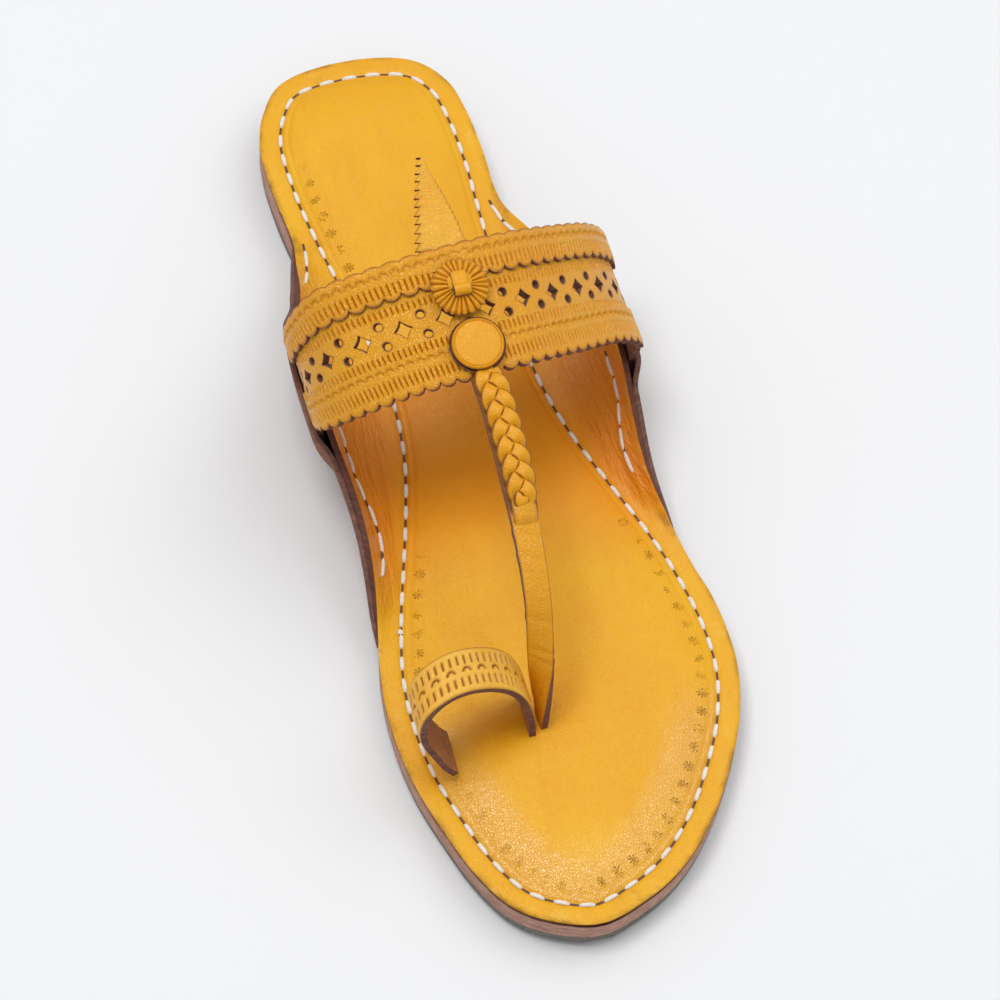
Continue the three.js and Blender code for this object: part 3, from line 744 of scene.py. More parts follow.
loop_feet = np.array([(-24.0, -178.2), (-12.0, -176.2), (0.0, -173.4), (3.5, -168.5)])
crease_y = np.interp(x_all, loop_feet[:, 0], loop_feet[:, 1])
crease_reach = ease(x_all, -27, -22) * (1 - ease(x_all, 1, 5))
folds -= 0.32 * crease_reach * np.exp(-(((y_rows[:, None] - crease_y) / 0.9) ** 2))
border = np.zeros(base.shape[:2])
border[:, [0, -1]] = border[[0, -1], :] = -0.35
height = swell + channel + folds + border
shape = base + normals_of(base) * height[:, :, None]
print(f"relief: {height.min():.1f} to {height.max():.1f} mm")


# %% [markdown]
# ## Where the footbed is worked, painted with shade, or stamped
# The finish needs to know which leather is which. Six notes go to the vertices: distance along and inside
# the seam for the stars, where the stars are, how much the skin was worked, where it is wing, and painted
# shade, kept in the note named depth: a deeper orange under the band, in the wings (less towards their top
# edges), inside the toe loop and beside the strap's foot.
# %% Notes, then the piece
wing_rise = np.stack([wing_edge(side, y_rows)[1] - cover_z(y_rows) for side in ("medial", "lateral")], -1)
raised = np.where(medial_half, wing_rise[:, :1], wing_rise[:, 1:])
share_map = share_map * ease(raised, 1, 9)
toe_margin = (inside_edge > 0.3) * (1 - ease(inside_edge, 7, 14)) * ease(-y_all, 158, 182)
toe_tip = ease(-y_all, 196, 212) * (inside_edge > 0.3)
flex = np.clip(share_map * 1.4, 0, 1) * 0.5 + 0.55 * np.maximum(toe_margin, 0.7 * toe_tip)
wing_note = ease(share_map, 0.02, 0.3)
# Painted shade: the band, the wings, the toe loop and the strap shade these places, so this note darkens
# them.
shade_under_band = ease(y_all, -134, -98) * (1 - ease(y_all, -74, -58))
painted_shade_note = 0.72 * shade_under_band + 0.46 * wing_note * ease(y_all, -140, -112) * (1 - ease(y_all, -52, -34))
shade_in_loop = np.exp(-(((x_all + 11) / 10) ** 2) - ((y_all + 167) / 7) ** 2)
shade_by_strap = np.exp(-(((x_all - 6) / 6) ** 2) - ((y_all + 163) / 11) ** 2)
painted_shade_note = np.maximum(painted_shade_note, np.maximum(0.5 * shade_in_loop, 0.28 * shade_by_strap))
painted_shade_note = np.clip(painted_shade_note, 0, 1) * (1 - 0.55 * ease(share_map, 0.86, 1.0))
forefoot = ease(-y_all, 112, 118) * (1 - 0.65 * medial_half * ease(-y_all, 166, 174))
by_heel = medial_half * ease(y_all, -46, -42) * ease(-y_all, -2, 4)
motif = (inside_edge > 2.0) * (forefoot + by_heel)
# The note named depth carries the painted shade.
footbed = sheet("footbed_cover", shape, {"seam_u": seam_along, "seam_v": inside_edge, "motif": motif,
                                        "flex": flex, "wing": wing_note, "depth": painted_shade_note})
dress(footbed, LEATHER_FOOTBED, EDGE_COVER)
thicken(footbed, COVER)
finish(footbed, "footbed")
lowest = points_of(footbed)[:, 2].min() / MM
print(f"footbed: pad {PAD_RISE} mm high, seam channel 0.5 mm deep, lowest point {lowest:.1f} mm")

# %% [markdown]
# ## Backings behind the wings
# Each wing is lined on its outside with brown leather; the band's end goes down between the two. The
# backing bulges by the band's thickness where it covers the root.
# %% Wing backings
def pocket(side, y, share):
    front, heel = ROOT[side]
    opening = ease(y, front - 9, front - 1) * (1 - ease(y, heel + 1, heel + 9))
    return (STRAP_WALL + GAP) * opening * ease(share, 0.17, 0.53)


def backing(side):
    y = np.linspace(WING["y"][-1] + 5, WING["y"][0] - 6, 110)
    edge, top = wing_edge(side, y)
    length = np.hypot(edge - seam_x(side, y), top - cover_z(y))
    shares = np.linspace(0, 1, 22)
    grid = np.empty((len(y), len(shares), 3))
    for k, t in enumerate(shares):
        share = lerp(1.2 / length, 1 - 0.5 / length, t)
        grid[:, k] = wing_point(side, y, share, COVER + GAP + pocket(side, y, share) + BACKING)
    if side == "medial":
        grid = grid[:, ::-1]
    piece = sheet(f"wing_backing_{side}", grid[:, ::-1])
    dress(piece, LINING, EDGE_BROWN)
    thicken(piece, BACKING, inner=0, edge=0.3)
    finish(piece, f"ear_backing_{side}")


for side in ("medial", "lateral"):
    backing(side)

# %% [markdown]
# ## The seam's thread
# A running stitch of thick white thread lies in the channel: a thread shows, dives, and the dark hole and
# channel show between it and the next. One stitch and one hole are modelled from a sphere and copied.
# %% One stitch
def rice(name, length, width, depth, droop):
    only()
    bpy.ops.mesh.primitive_uv_sphere_add(segments=8, ring_count=8, radius=1, location=(0, 0, 0),
                                         rotation=(0, math.pi / 2, 0))
    bpy.ops.object.transform_apply(location=False, rotation=True, scale=False)
    piece = named(name)
    p = points_of(piece)
    x = np.sign(p[:, 0]) * np.abs(p[:, 0]) ** 0.75
    round_off = np.clip(1 - np.abs(x) ** 4, 0.0, 1) ** 0.5
    radial = np.maximum(np.hypot(p[:, 1], p[:, 2]), 1e-6)
    press(piece, np.stack([x * length / 2, p[:, 1] / radial * round_off * width / 2,
                           p[:, 2] / radial * round_off * depth / 2 - droop * np.abs(x) ** 3], -1) * MM)
    return piece


def inset_line(distance):
    ring = np.vstack([OUTLINE[-2:], OUTLINE, OUTLINE[:2]])
    tangent = ring[4:] - ring[:-4]
    tangent /= np.linalg.norm(tangent, axis=1, keepdims=True)
    inward = np.stack([-tangent[:, 1], tangent[:, 0]], -1)
    middle_point = OUTLINE.mean(0)
    if ((middle_point - OUTLINE) * inward).sum() < 0:
        inward = -inward
    return OUTLINE + inward * distance


def spaced(line, pitch, closed=True, phase=0.0):
    """Evenly spaced places on a line and the line's direction at each."""
    full = np.vstack([line, line[:1]]) if closed else np.asarray(line, float)
    steps = np.r_[0, np.cumsum(np.linalg.norm(np.diff(full, axis=0), axis=1))]
    count = max(int(round(steps[-1] / pitch)), 1)
    at = (np.arange(count) + phase) * steps[-1] / count
    def place(where):
        return np.stack([np.interp(where % steps[-1] if closed else np.clip(where, 0, steps[-1]), steps,
                                   full[:, k]) for k in range(full.shape[1])], -1)
    return place(at), place(at + 0.6) - place(at - 0.6)


def stand(origin, along, up):
    """A 4x4 place, in metres, whose X runs along and whose Z is nearest to up."""
    x = Vector(along).normalized()
    y = Vector(up).cross(x).normalized()
    z = x.cross(y)
    m = Matrix((x, y, z)).transposed().to_4x4()
    m.translation = Vector(origin) * MM
    return m


# %% Stitches round the seam
STITCH = rice("stitch_model", 3.9, 1.1, 0.95, 0.28)
LONG_STITCH = rice("long_stitch_model", 6.1, 0.95, 0.8, 0.25)
HOLE = rice("hole_model", 2.9, 0.8, 0.5, 0.0)
seam_line = inset_line(SEAM_INSET)
seam_line = np.column_stack([seam_line, cover_z(seam_line[:, 1])])
places, ways = spaced(seam_line, 6.0)
gaps, gap_ways = spaced(seam_line, 6.0, phase=0.5)
UP = (0, 0, 1)
stitches = copies(STITCH, [stand(p + [0, 0, -0.05], w, UP) for p, w in zip(places, ways)])
holes = copies(HOLE, [stand(p + [0, 0, -0.5], w, UP) for p, w in zip(gaps, gap_ways)])

# Second rows that fix the band's roots: place along the foot and share of the wing.
WING_ROWS = {
    "medial": [[(-81.2, 0.60), (-90.0, 0.60), (-98.0, 0.58), (-104.0, 0.49), (-111.0, 0.43),
                (-117.0, 0.50), (-121.6, 0.66)],
               [(-24.2, 0.62), (-29.0, 0.67), (-33.5, 0.74), (-38.5, 0.84)]],
    "lateral": [[(-76.2, 0.72), (-86.5, 0.72), (-93.2, 0.64), (-99.0, 0.60), (-106.0, 0.64)],
                [(-21.2, 0.57), (-28.0, 0.63), (-33.0, 0.72)]],
}
for side, rows in WING_ROWS.items():
    for row in rows:
        route = through(row, 12)
        line = np.array([wing_point(side, y, share) for y, share in route])
        inner = np.array([wing_point(side, y, share, -1.0) for y, share in route])
        spots, ways = spaced(line, 6.9, closed=False, phase=0.5)
        ups, _ = spaced(inner, 6.9, closed=False, phase=0.5)
        stitches += copies(LONG_STITCH,
                           [stand(p + (u - p) * 0.2, w, u - p) for p, w, u in zip(spots, ways, ups)])
        spots, ways = spaced(line, 6.9, closed=False, phase=0.0)
        ups, _ = spaced(inner, 6.9, closed=False, phase=0.0)
        holes += copies(HOLE, [stand(p - (u - p) * 0.05, w, u - p) for p, w, u in zip(spots, ways, ups)])
knot_at = np.array([-25.1, -135.2, cover_z(-135.2) + 0.25])
small = Matrix.Scale(0.48, 4)
knot_ways = [(math.cos(a), math.sin(a), 0) for a in (0.3, 1.4, 2.4)]
stitches += copies(STITCH, [stand(knot_at, way, UP) @ small for way in knot_ways])
print(len(stitches), "stitches,", len(holes), "holes")
thread = join("seam_stitches", stitches)
dress(thread, THREAD_WHITE)
finish(thread, None)
hole_marks = join("seam_holes", holes)
dress(hole_marks, THREAD_DARK)
finish(hole_marks, None)
discard(STITCH)
discard(LONG_STITCH)
discard(HOLE)

# %% [markdown]
# ## The instep band: punched flat, then bent
# On the bench the band is a flat strip. Its front edge is cut in scallops, rows of dashes and small arcs
# are stamped in, and diamonds and round holes are punched right through. Only then is it bent over the
# instep, which here is a look-up of the arch's surface: s runs over the arch and t from the front edge
# to the heel edge.
# %% The arch
def band_rows(v):
    def root(side, share):
        y = lerp(*ROOT[side], v)
        return wing_point(side, y, share, COVER + GAP + STRAP_WALL)
    shares = (0.58, 0.8, 1.0)
    free = [lerp(np.array(front), np.array(heel), v) for front, heel in BAND]
    return [*(root("medial", s) for s in shares), *free, *(root("lateral", s) for s in reversed(shares))]


def by_length(line, count):
    steps = np.r_[0, np.cumsum(np.linalg.norm(np.diff(line, axis=0), axis=1))]
    at = np.linspace(0, steps[-1], count)
    return np.stack([np.interp(at, steps, line[:, k]) for k in range(3)], -1), steps[-1]


ACROSS, OVER = 31, 481
arch = np.empty((ACROSS, OVER, 3))
lengths = []
for k, v in enumerate(np.linspace(0, 1, ACROSS)):
    arch[k], length = by_length(through(band_rows(v), 40), OVER)
    lengths.append(length)
BAND_LENGTH = float(np.mean(lengths))
BAND_WIDTH = float(np.linalg.norm(arch[0, OVER // 2] - arch[-1, OVER // 2]))
arch_normal = normals_of(arch)
if arch_normal[ACROSS // 2, OVER // 2, 2] < 0:
    arch_normal = -arch_normal
CROWN = float(BAND_LENGTH
              * np.argmin(np.abs(arch[ACROSS // 2, :, 0] - 0.6) + (arch[ACROSS // 2, :, 2] < 60) * 99)
              / (OVER - 1))
print(f"band: {BAND_LENGTH:.0f} mm over the arch, {BAND_WIDTH:.1f} mm wide, crown at {CROWN:.0f} mm")


# %% [markdown]
# ## Bending a flat piece
# A maker cuts and stamps a strip flat, then bends it. The lesson does the same: a place on the flat strip is
# found on the arch by its length along the leather and its way across, and lifted off by its height.
# %% Bend a flat piece onto the arch
def sample(table, s, t):
    """Reads the arch's table between its points; beyond an edge it runs straight on."""
    a = np.clip(np.asarray(t, float) / BAND_WIDTH, -0.2, 1.2) * (ACROSS - 1)
    b = np.clip(np.asarray(s, float) / BAND_LENGTH, 0, 1) * (OVER - 1)
    i = np.clip(np.floor(a).astype(int), 0, ACROSS - 2)
    j = np.clip(np.floor(b).astype(int), 0, OVER - 2)
    fa, fb = (a - i)[..., None], (b - j)[..., None]
    return ((table[i, j] * (1 - fb) + table[i, j + 1] * fb) * (1 - fa)
            + (table[i + 1, j] * (1 - fb) + table[i + 1, j + 1] * fb) * fa)


def bend(piece):
    """Wraps a flat piece, modelled in s, t and height, over the arch."""
    p = points_of(piece) / MM
    normal = sample(arch_normal, p[:, 0], p[:, 1])
    normal /= np.linalg.norm(normal, axis=1, keepdims=True)
    press(piece, (sample(arch, p[:, 0], p[:, 1]) + normal * p[:, 2:3]) * MM)


# %% Scallops, dashes and other stamps
SCALLOP = 4.2
DASH = 1.36


def scallop(s, depth=1.5):
    """How far a scalloped edge stands out: round lobes that meet in sharp notches."""
    x = (s - CROWN) % SCALLOP - SCALLOP / 2
    radius = (depth**2 + (SCALLOP / 2) ** 2) / (2 * depth)
    return np.sqrt(radius**2 - x**2) - (radius - depth)


def dashes(s, t, low, high):
    """A row of short dashes across the strip: 1 at the bottom of each."""
    rows = ease(t, low, low + 0.35) * (1 - ease(t, high - 0.35, high))
    return rows * np.clip(np.cos(2 * math.pi * (s - CROWN) / DASH), 0, 1)


def arcs(s, t, centre, pitch=2.72, radius=0.95):
    a = (s - CROWN) % pitch - pitch / 2
    b = t - centre + 0.3
    ring = np.abs(np.hypot(a, b) - radius)
    return np.clip(1 - ring / 0.45, 0, 1) * ease(b, -0.2, 0.2)


# %% A strip with shaped edges
def strip(name, t_low, t_high, s_low, s_high, across, low_edge, high_edge, stamps, lift=0.0, wall=1.0,
          bulge=None):
    """A flat strip with shaped edges and stamped rows, in s, t and height."""
    step = DASH / 4
    count = int(round((s_high - s_low) / step))
    s = (CROWN + step * (np.arange(count + 1) + round((s_low - CROWN) / step)))[:, None]
    t = np.linspace(t_low, t_high, across)[None, :]
    s, t = np.broadcast_arrays(s, t)
    blend_low = np.clip(1 - (t - t_low) / 2.2, 0, 1) ** 1.2
    blend_high = np.clip(1 - (t_high - t) / 2.2, 0, 1) ** 1.2
    shifted = t - low_edge(s) * blend_low + high_edge(s) * blend_high
    rim = np.clip(1 - (t - t_low) / 0.55, 0, 1) + np.clip(1 - (t_high - t) / 0.55, 0, 1)
    stamp = stamps(s, t)
    z = lift + (bulge(s, t) if bulge else 0 * s)
    grid = np.stack([s, shifted, z], -1)
    piece = sheet(name, np.transpose(grid, (1, 0, 2)),
                  {"stamp": np.maximum(0.6 * stamp, 1.15 * rim).T, "flex": 0.75 + 0 * stamp.T})
    dress(piece, LEATHER_STAMPED, EDGE_BROWN, LINING)
    thicken(piece, wall, inner=2)
    worn = 0.3 * (np.clip(1 - (t - t_low) / 0.8, 0, 1) + np.clip(1 - (t_high - t) / 0.8, 0, 1))
    relief = 0.12 * np.clip(0.2 - stamp, 0, 1) - 0.6 * stamp - worn
    emboss(piece, np.stack([0 * relief, 0 * relief, relief], -1).transpose(1, 0, 2))
    return piece


def none(s):
    return 0 * s


# %% [markdown]
# ## The band, punched and stamped
# The band is one strip with a cut pattern. Diamonds and round holes are punched right through it with a
# Boolean cut; their walls take the brown cut edge and a dark ring is noted round each. Rows of dashes follow
# the edges.
# %% The main strip
W = BAND_WIDTH
OVERLAY = 8.4                  # width of the strip along the heel edge
DIAMOND_ROW = 14.6             # middle of the diamonds, from the front edge
DIAMOND_PITCH = 10.4


def main_stamps(s, t):
    low = dashes(s, t, 1.3, 4.3)
    mid = arcs(s, t, 6.1) * 0.9
    upper_low = dashes(s, t, 7.9, 10.3)
    upper_high = dashes(s, t, 18.6, 21.0)
    return np.maximum.reduce([low, mid, upper_low, upper_high])


def front_bulge(s, t):
    """The front border is a little thicker towards the band's ends."""
    far = ease(np.abs(s - CROWN), 34, 52)
    return 0.7 * far * (1 - ease(t, 8.6, 9.2))


band = strip("instep_band", 0.0, W - OVERLAY + 3.0, 2.0, BAND_LENGTH - 2.0, 62, scallop, none, main_stamps,
             wall=STRAP_WALL, bulge=front_bulge)


# %% Punches
# The punches: a concave diamond and a round one, in each gap between two diamonds an upper and a lower.
only()
bpy.ops.mesh.primitive_circle_add(vertices=16, radius=2.3 * MM, fill_type="NGON", location=(0, 0, 0))
diamond_punch = named("diamond_punch")
p = points_of(diamond_punch)
turn = np.arctan2(p[:, 1], p[:, 0])
reach = 1 / (np.abs(np.cos(turn)) ** 0.82 + np.abs(np.sin(turn)) ** 0.82) ** (1 / 0.82)
press(diamond_punch, np.column_stack([p[:, :2] * reach[:, None], p[:, 2] - 0.004]))
bpy.ops.object.mode_set(mode="EDIT")
bpy.ops.mesh.select_all(action="SELECT")
bpy.ops.mesh.extrude_region_move(TRANSFORM_OT_translate={"value": (0, 0, 0.008)})
bpy.ops.mesh.select_all(action="SELECT")
bpy.ops.mesh.normals_make_consistent(inside=False)
bpy.ops.object.mode_set(mode="OBJECT")
only()
bpy.ops.mesh.primitive_cylinder_add(vertices=14, radius=1.0 * MM, depth=0.008, location=(0, 0, 0))
hole_punch = named("hole_punch")

half = int((BAND_LENGTH / 2) // DIAMOND_PITCH)
diamonds, rounds = [], []
for k in range(-half, half + 1):
    s = CROWN + (k + 0.5) * DIAMOND_PITCH
    if not 16 < s < BAND_LENGTH - 12:
        continue
    diamonds.append(Matrix.Translation(Vector((s, DIAMOND_ROW, 0)) * MM))
    for shift in (2.55, -2.55):
        rounds.append(Matrix.Translation(Vector((s + DIAMOND_PITCH / 2, DIAMOND_ROW + shift, 0)) * MM))
punches = join("punches", copies(diamond_punch, diamonds) + copies(hole_punch, rounds))
discard(diamond_punch)
discard(hole_punch)
apply(band, "BOOLEAN", operation="DIFFERENCE", object=punches, solver="EXACT")
discard(punches)
def beyond_punch(x, y):
    """Distance in mm from each place to the nearest punched outline, below 0 inside it."""
    nearest = np.full(np.shape(x), 99.0)
    for place in diamonds:
        away_x, away_y = np.abs(x - place.translation[0] / MM), np.abs(y - place.translation[1] / MM)
        nearest = np.minimum(nearest, (away_x**0.82 + away_y**0.82) ** (1 / 0.82) - 2.3)
    for place in rounds:
        away_x, away_y = x - place.translation[0] / MM, y - place.translation[1] / MM
        nearest = np.minimum(nearest, np.hypot(away_x, away_y) - 1.0)
    return nearest


centres = np.array([face.center for face in band.data.polygons]) / MM
upright = np.array([abs(face.normal.z) < 0.5 for face in band.data.polygons])
walls = upright & (beyond_punch(centres[:, 0], centres[:, 1]) < 0.12)
for k in np.nonzero(walls)[0]:
    band.data.polygons[int(k)].material_index = 1
stamp = np.empty(len(band.data.vertices), np.float32)
band.data.attributes["stamp"].data.foreach_get("value", stamp)
flat = points_of(band) / MM
# A dark ring is noted round each punched outline.
dark_ring = 1.5 * np.clip(1 - beyond_punch(flat[:, 0], flat[:, 1]) / 0.5, 0, 1)
band.data.attributes["stamp"].data.foreach_set("value", np.maximum(stamp, dark_ring).astype(np.float32))
bend(band)
finish(band, "upper", angle=50)


# %% Heel border and lining
def overlay_stamps(s, t):
    u = t - (W - OVERLAY)
    return np.maximum(dashes(s, u, 1.5, 4.1), arcs(s, u, 5.9) * 0.9)


heel_strip = strip("heel_border", W - OVERLAY + 1.0, W, 1.5, BAND_LENGTH - 1.5, 26, scallop,
                   lambda s: 0.45 * scallop(s + SCALLOP / 2), overlay_stamps, lift=1.3, wall=1.25)
bend(heel_strip)
finish(heel_strip, "upper", angle=50)
band_lining = strip("heel_border_lining", W - 6.5, W - 0.8, 3.0, BAND_LENGTH - 3.0, 8, none, none,
                    lambda s, t: 0 * s, lift=0.0, wall=STRAP_WALL)
bend(band_lining)
finish(band_lining, "upper", angle=50)

# %% [markdown]
# ## Toe strap, plait and tail
# A flat strap runs from under the button down to the slit beside the loop and turns on edge as it gets
# there. Its upper third carries a plait of three narrow strands. Each strand is a soft tube: it swings
# from side to side and dips under its neighbours in turn.
# %% The run of the strap
TOE_STRAP = {
    "x": [1.5, 1.9, 2.4, 2.8, 3.2, 3.4, 3.2, 2.7, 2.3, 1.8, 1.5, 1.2, 1.0, 1.0],
    "y": [-97.0, -101.5, -105.0, -110.0, -118.6, -129.0, -137.0, -147.0, -154.0, -159.0, -162.6, -165.0,
          -166.8, -167.2],
    "z": [65.4, 64.1, 64.6, 64.2, 61.6, 58.0, 53.6, 49.0, 44.2, 38.0, 31.0, 24.0, 18.0, 12.8],
    "turn": [0, 0, 0, 0, 0, 0, -4, -8, -14, -24, -44, -68, -84, -90],
    "width": [6.8, 7.4, 8.2, 8.3, 8.3, 8.0, 7.2, 6.8, 6.6, 6.4, 6.4, 6.4, 6.4, 6.4],
    "lean": [0, 0, 0, 0, 2, 8, 14, 16, 16, 14, 10, 6, 2, 0],
    "sink": [0.4, 0.4, 1.0, 1.4, 1.4, 1.3, 0.4, 0, 0, 0, 0, 0, 0, 0],
}
route = through(list(zip(TOE_STRAP["x"], TOE_STRAP["y"], TOE_STRAP["z"])), 12)


def strap_column(name):
    return np.interp(np.arange(len(route)) / 12, np.arange(len(TOE_STRAP["x"])), TOE_STRAP[name])


tangent = np.gradient(route, axis=0)
tangent /= np.linalg.norm(tangent, axis=1, keepdims=True)
turn = np.radians(strap_column("turn"))
side_way = np.stack([np.cos(turn), np.sin(turn), 0 * turn], -1)
side_way -= tangent * (side_way * tangent).sum(1, keepdims=True)
side_way /= np.linalg.norm(side_way, axis=1, keepdims=True)
up_way = np.cross(side_way, tangent)
up_way *= np.sign(up_way[0, 2])
lean = np.radians(strap_column("lean"))[:, None]
side_way, up_way = (side_way * np.cos(lean) - up_way * np.sin(lean),
                    up_way * np.cos(lean) + side_way * np.sin(lean))
strap_steps = np.r_[0, np.cumsum(np.linalg.norm(np.diff(route, axis=0), axis=1))]


def strap_place(along, across, up):
    """Point at a distance along the strap, beside its middle and above it, in millimetres."""
    def pick(table):
        return np.stack([np.interp(along, strap_steps, table[:, k]) for k in range(3)], -1)

    beside, above = np.asarray(across)[..., None], np.asarray(up)[..., None]
    return pick(route) + pick(side_way) * beside + pick(up_way) * above


# %% The strap itself
n_along, n_across = 160, 13
along = np.linspace(0, strap_steps[-1], n_along)
half_width = np.interp(along, strap_steps, strap_column("width")) / 2
sink = np.interp(along, strap_steps, strap_column("sink"))
t = np.linspace(-1, 1, n_across)
WRINKLES = [(46.0, 0.35, 0.7), (51.5, 0.25, 0.8), (66.0, 0.3, 0.7), (74.0, 0.35, 0.8), (76.5, 0.3, 0.6)]
grid = np.empty((n_across, n_along, 3))
for k, share in enumerate(t):
    crown = 0.95 - sink - 0.3 * share**2
    for where, depth, width in WRINKLES:
        dent = depth * np.exp(-(((along - where - 1.2 * share) / width) ** 2))
        crown = crown - dent * (1 - 0.4 * share**2)
    grid[k] = strap_place(along, share * half_width, crown)
# The strap is noted darker under the plait and towards the slit.
dark_under_plait_and_at_slit = 1.5 * (1 - ease(along, 39, 42)) + 0.25 * ease(along, 72, 88)
rim_tone = 1.0 * np.clip((np.abs(t) - 0.84) / 0.16, 0, 1)[:, None] * np.ones(n_along)[None, :]
strap = sheet("toe_strap", grid, {"flex": np.full((n_across, n_along), 0.7),
                                  "stamp": np.maximum(rim_tone, dark_under_plait_and_at_slit[None, :])})
dress(strap, LEATHER_PLAIN, EDGE_BROWN, LINING)
thicken(strap, 1.9, inner=2, edge=0.3)
finish(strap, "upper", angle=50)


# %% [markdown]
# ## The plait and its fold
# Three narrow strands cross over one another in turn. Each follows a wave along the strap, a third of a turn
# behind the next, and dips where another passes over it. The plait ends in a fold under the band.
# %% One strand
def tube(name, centre, across, up, half_w, half_h, around=20):
    """A strand of oval section along a centre line, closed at both ends."""
    rows = len(centre)
    angle = np.linspace(0, 2 * math.pi, around + 1)
    flat_cos = np.sign(np.cos(angle)) * np.abs(np.cos(angle)) ** 0.75
    flat_sin = np.sign(np.sin(angle)) * np.abs(np.sin(angle)) ** 0.6
    grid = (centre[:, None] + across[:, None] * (flat_cos[None, :, None] * half_w[:, None, None])
            + up[:, None] * (flat_sin[None, :, None] * half_h[:, None, None]))
    rim = np.broadcast_to(1.5 * np.clip((np.abs(flat_cos) - 0.66) / 0.3, 0, 1), grid.shape[:2])
    piece = sheet(name, grid, {"stamp": rim, "flex": np.full(grid.shape[:2], 0.35)})
    bpy.ops.object.mode_set(mode="EDIT")
    bpy.ops.mesh.select_all(action="SELECT")
    bpy.ops.mesh.remove_doubles(threshold=1e-6)
    bpy.ops.mesh.select_all(action="DESELECT")
    bpy.ops.mesh.select_non_manifold()
    bpy.ops.mesh.edge_face_add()
    bpy.ops.object.mode_set(mode="OBJECT")
    return piece


# %% The plait
PLAIT = {"start": 3.5, "length": 36.0, "period": 13.2, "swing": 2.1, "dip": 0.95}
strands = []
for k in range(3):
    d = np.linspace(0, PLAIT["length"], 110)
    phase = 2 * math.pi * (d / PLAIT["period"] + k / 3)
    fade = np.minimum(ease(d, -1, 5), 1 - 0.75 * ease(d, PLAIT["length"] - 5, PLAIT["length"] + 1))
    x = PLAIT["swing"] * np.sin(phase) * fade
    z = 1.0 + PLAIT["dip"] * np.sin(2 * phase) * fade
    centre = strap_place(PLAIT["start"] + d, x, z)
    way = np.gradient(centre, axis=0)
    way /= np.linalg.norm(way, axis=1, keepdims=True)
    over = strap_place(PLAIT["start"] + d, x, z + 1) - centre
    across = np.cross(way, over)
    across /= np.linalg.norm(across, axis=1, keepdims=True)
    up = np.cross(across, way)
    width = np.full(len(d), 1.9)
    thick = np.full(len(d), 0.8)
    ends = np.minimum(ease(d, 0, 1.5), 1 - ease(d, PLAIT["length"] - 1.5, PLAIT["length"]))
    strands.append(tube(f"strand_{k}", centre, across, up, width * (0.6 + 0.4 * ends),
                        thick * (0.4 + 0.6 * ends)))
plait = join("plait", strands)
dress(plait, LEATHER_PLAIN)
finish(plait, "upper")


# %% The fold below the plait
end_place = PLAIT["start"] + PLAIT["length"]
tongue_d = np.linspace(-2.5, 6.5, 26)
tongue_t = np.linspace(-1, 1, 13)
tongue = np.empty((13, 26, 3))
for k, share in enumerate(tongue_t):
    bow = np.sqrt(np.clip(1 - ((tongue_d + 2.5) / 9 - 0.35) ** 2 / 0.45, 0.02, 1))
    tongue[k] = strap_place(end_place + tongue_d, share * 3.1 * (0.75 + 0.25 * bow),
                            -0.4 + 2.3 * bow * (1 - 0.45 * share**2) * (1 - ease(tongue_d, 2.0, 6.5)))
fold_tone = np.broadcast_to(1.2 * np.clip((np.abs(tongue_t) - 0.8) / 0.2, 0, 1)[:, None], (13, 26))
fold = sheet("plait_fold", tongue, {"flex": np.full((13, 26), 0.8), "stamp": fold_tone})
dress(fold, LEATHER_PLAIN, EDGE_BROWN, LINING)
thicken(fold, 1.0, inner=2, edge=0.2)
finish(fold, "upper", angle=50)


# %% [markdown]
# ## The tail
# Beyond the band the strap runs out in a thin, pointed tail with toothed edges. It is a sheet once more, and
# its ripples and dark rim fade with its width, so that the tip stays clean.
# %% The tail
TAIL = {
    "y": [-78.0, -72.4, -66.0, -58.0, -51.0, -45.5],
    "z": [73.6, 74.4, 75.0, 75.2, 75.0, 74.5],
    "left": [-8.0, -7.6, -6.2, -4.4, -2.5, -0.7],
    "right": [4.8, 4.9, 4.2, 2.8, 1.2, 0.1],
}
y = np.linspace(-78.0, -45.5, 131)
order = np.argsort(TAIL["y"])
pull = lambda name: np.interp(y, np.array(TAIL["y"])[order], np.array(TAIL[name])[order])
teeth = ((y - TAIL["y"][-1]) / 2.4) % 1
left = pull("left") + 1.5 * teeth * (y > -73) - 0.5
small_teeth = ((y - TAIL["y"][-1]) / 1.6) % 1
right = np.maximum(pull("right") - 0.45 * small_teeth * (1 - ease(y, -54, -49)), left + 0.15)
t = np.linspace(0, 1, 15)[:, None]
tail_grid = np.stack([lerp(left[None], right[None], t), np.broadcast_to(y, (15, 131)),
                      pull("z")[None] + 0.6 * np.sin(math.pi * t) * ease(-y, 45, 60)[None]], -1)
wave = np.sin(2 * math.pi * (y[None] / 1.35 + 0.5 * np.sin(4 * t + 0.35 * y[None])))
ripple = 0.11 * wave * np.sin(math.pi * t) * ease(right - left, 2.0, 5.0)[None]
tail_grid[:, :, 2] += ripple
tail_tone = np.maximum(1.1 * np.clip(1 - t / 0.08, 0, 1),
                       0.8 * np.clip(1 - (1 - t) / 0.07, 0, 1)) * ease(right - left, 0.2, 1.6)[None]
tail = sheet("tail_tongue", np.transpose(tail_grid, (1, 0, 2)),
             {"flex": np.full((131, 15), 0.45), "stamp": tail_tone.T})
dress(tail, LEATHER_TAIL, EDGE_BROWN, LINING)
thicken(tail, 0.9, inner=2)
finish(tail, "upper", angle=50)

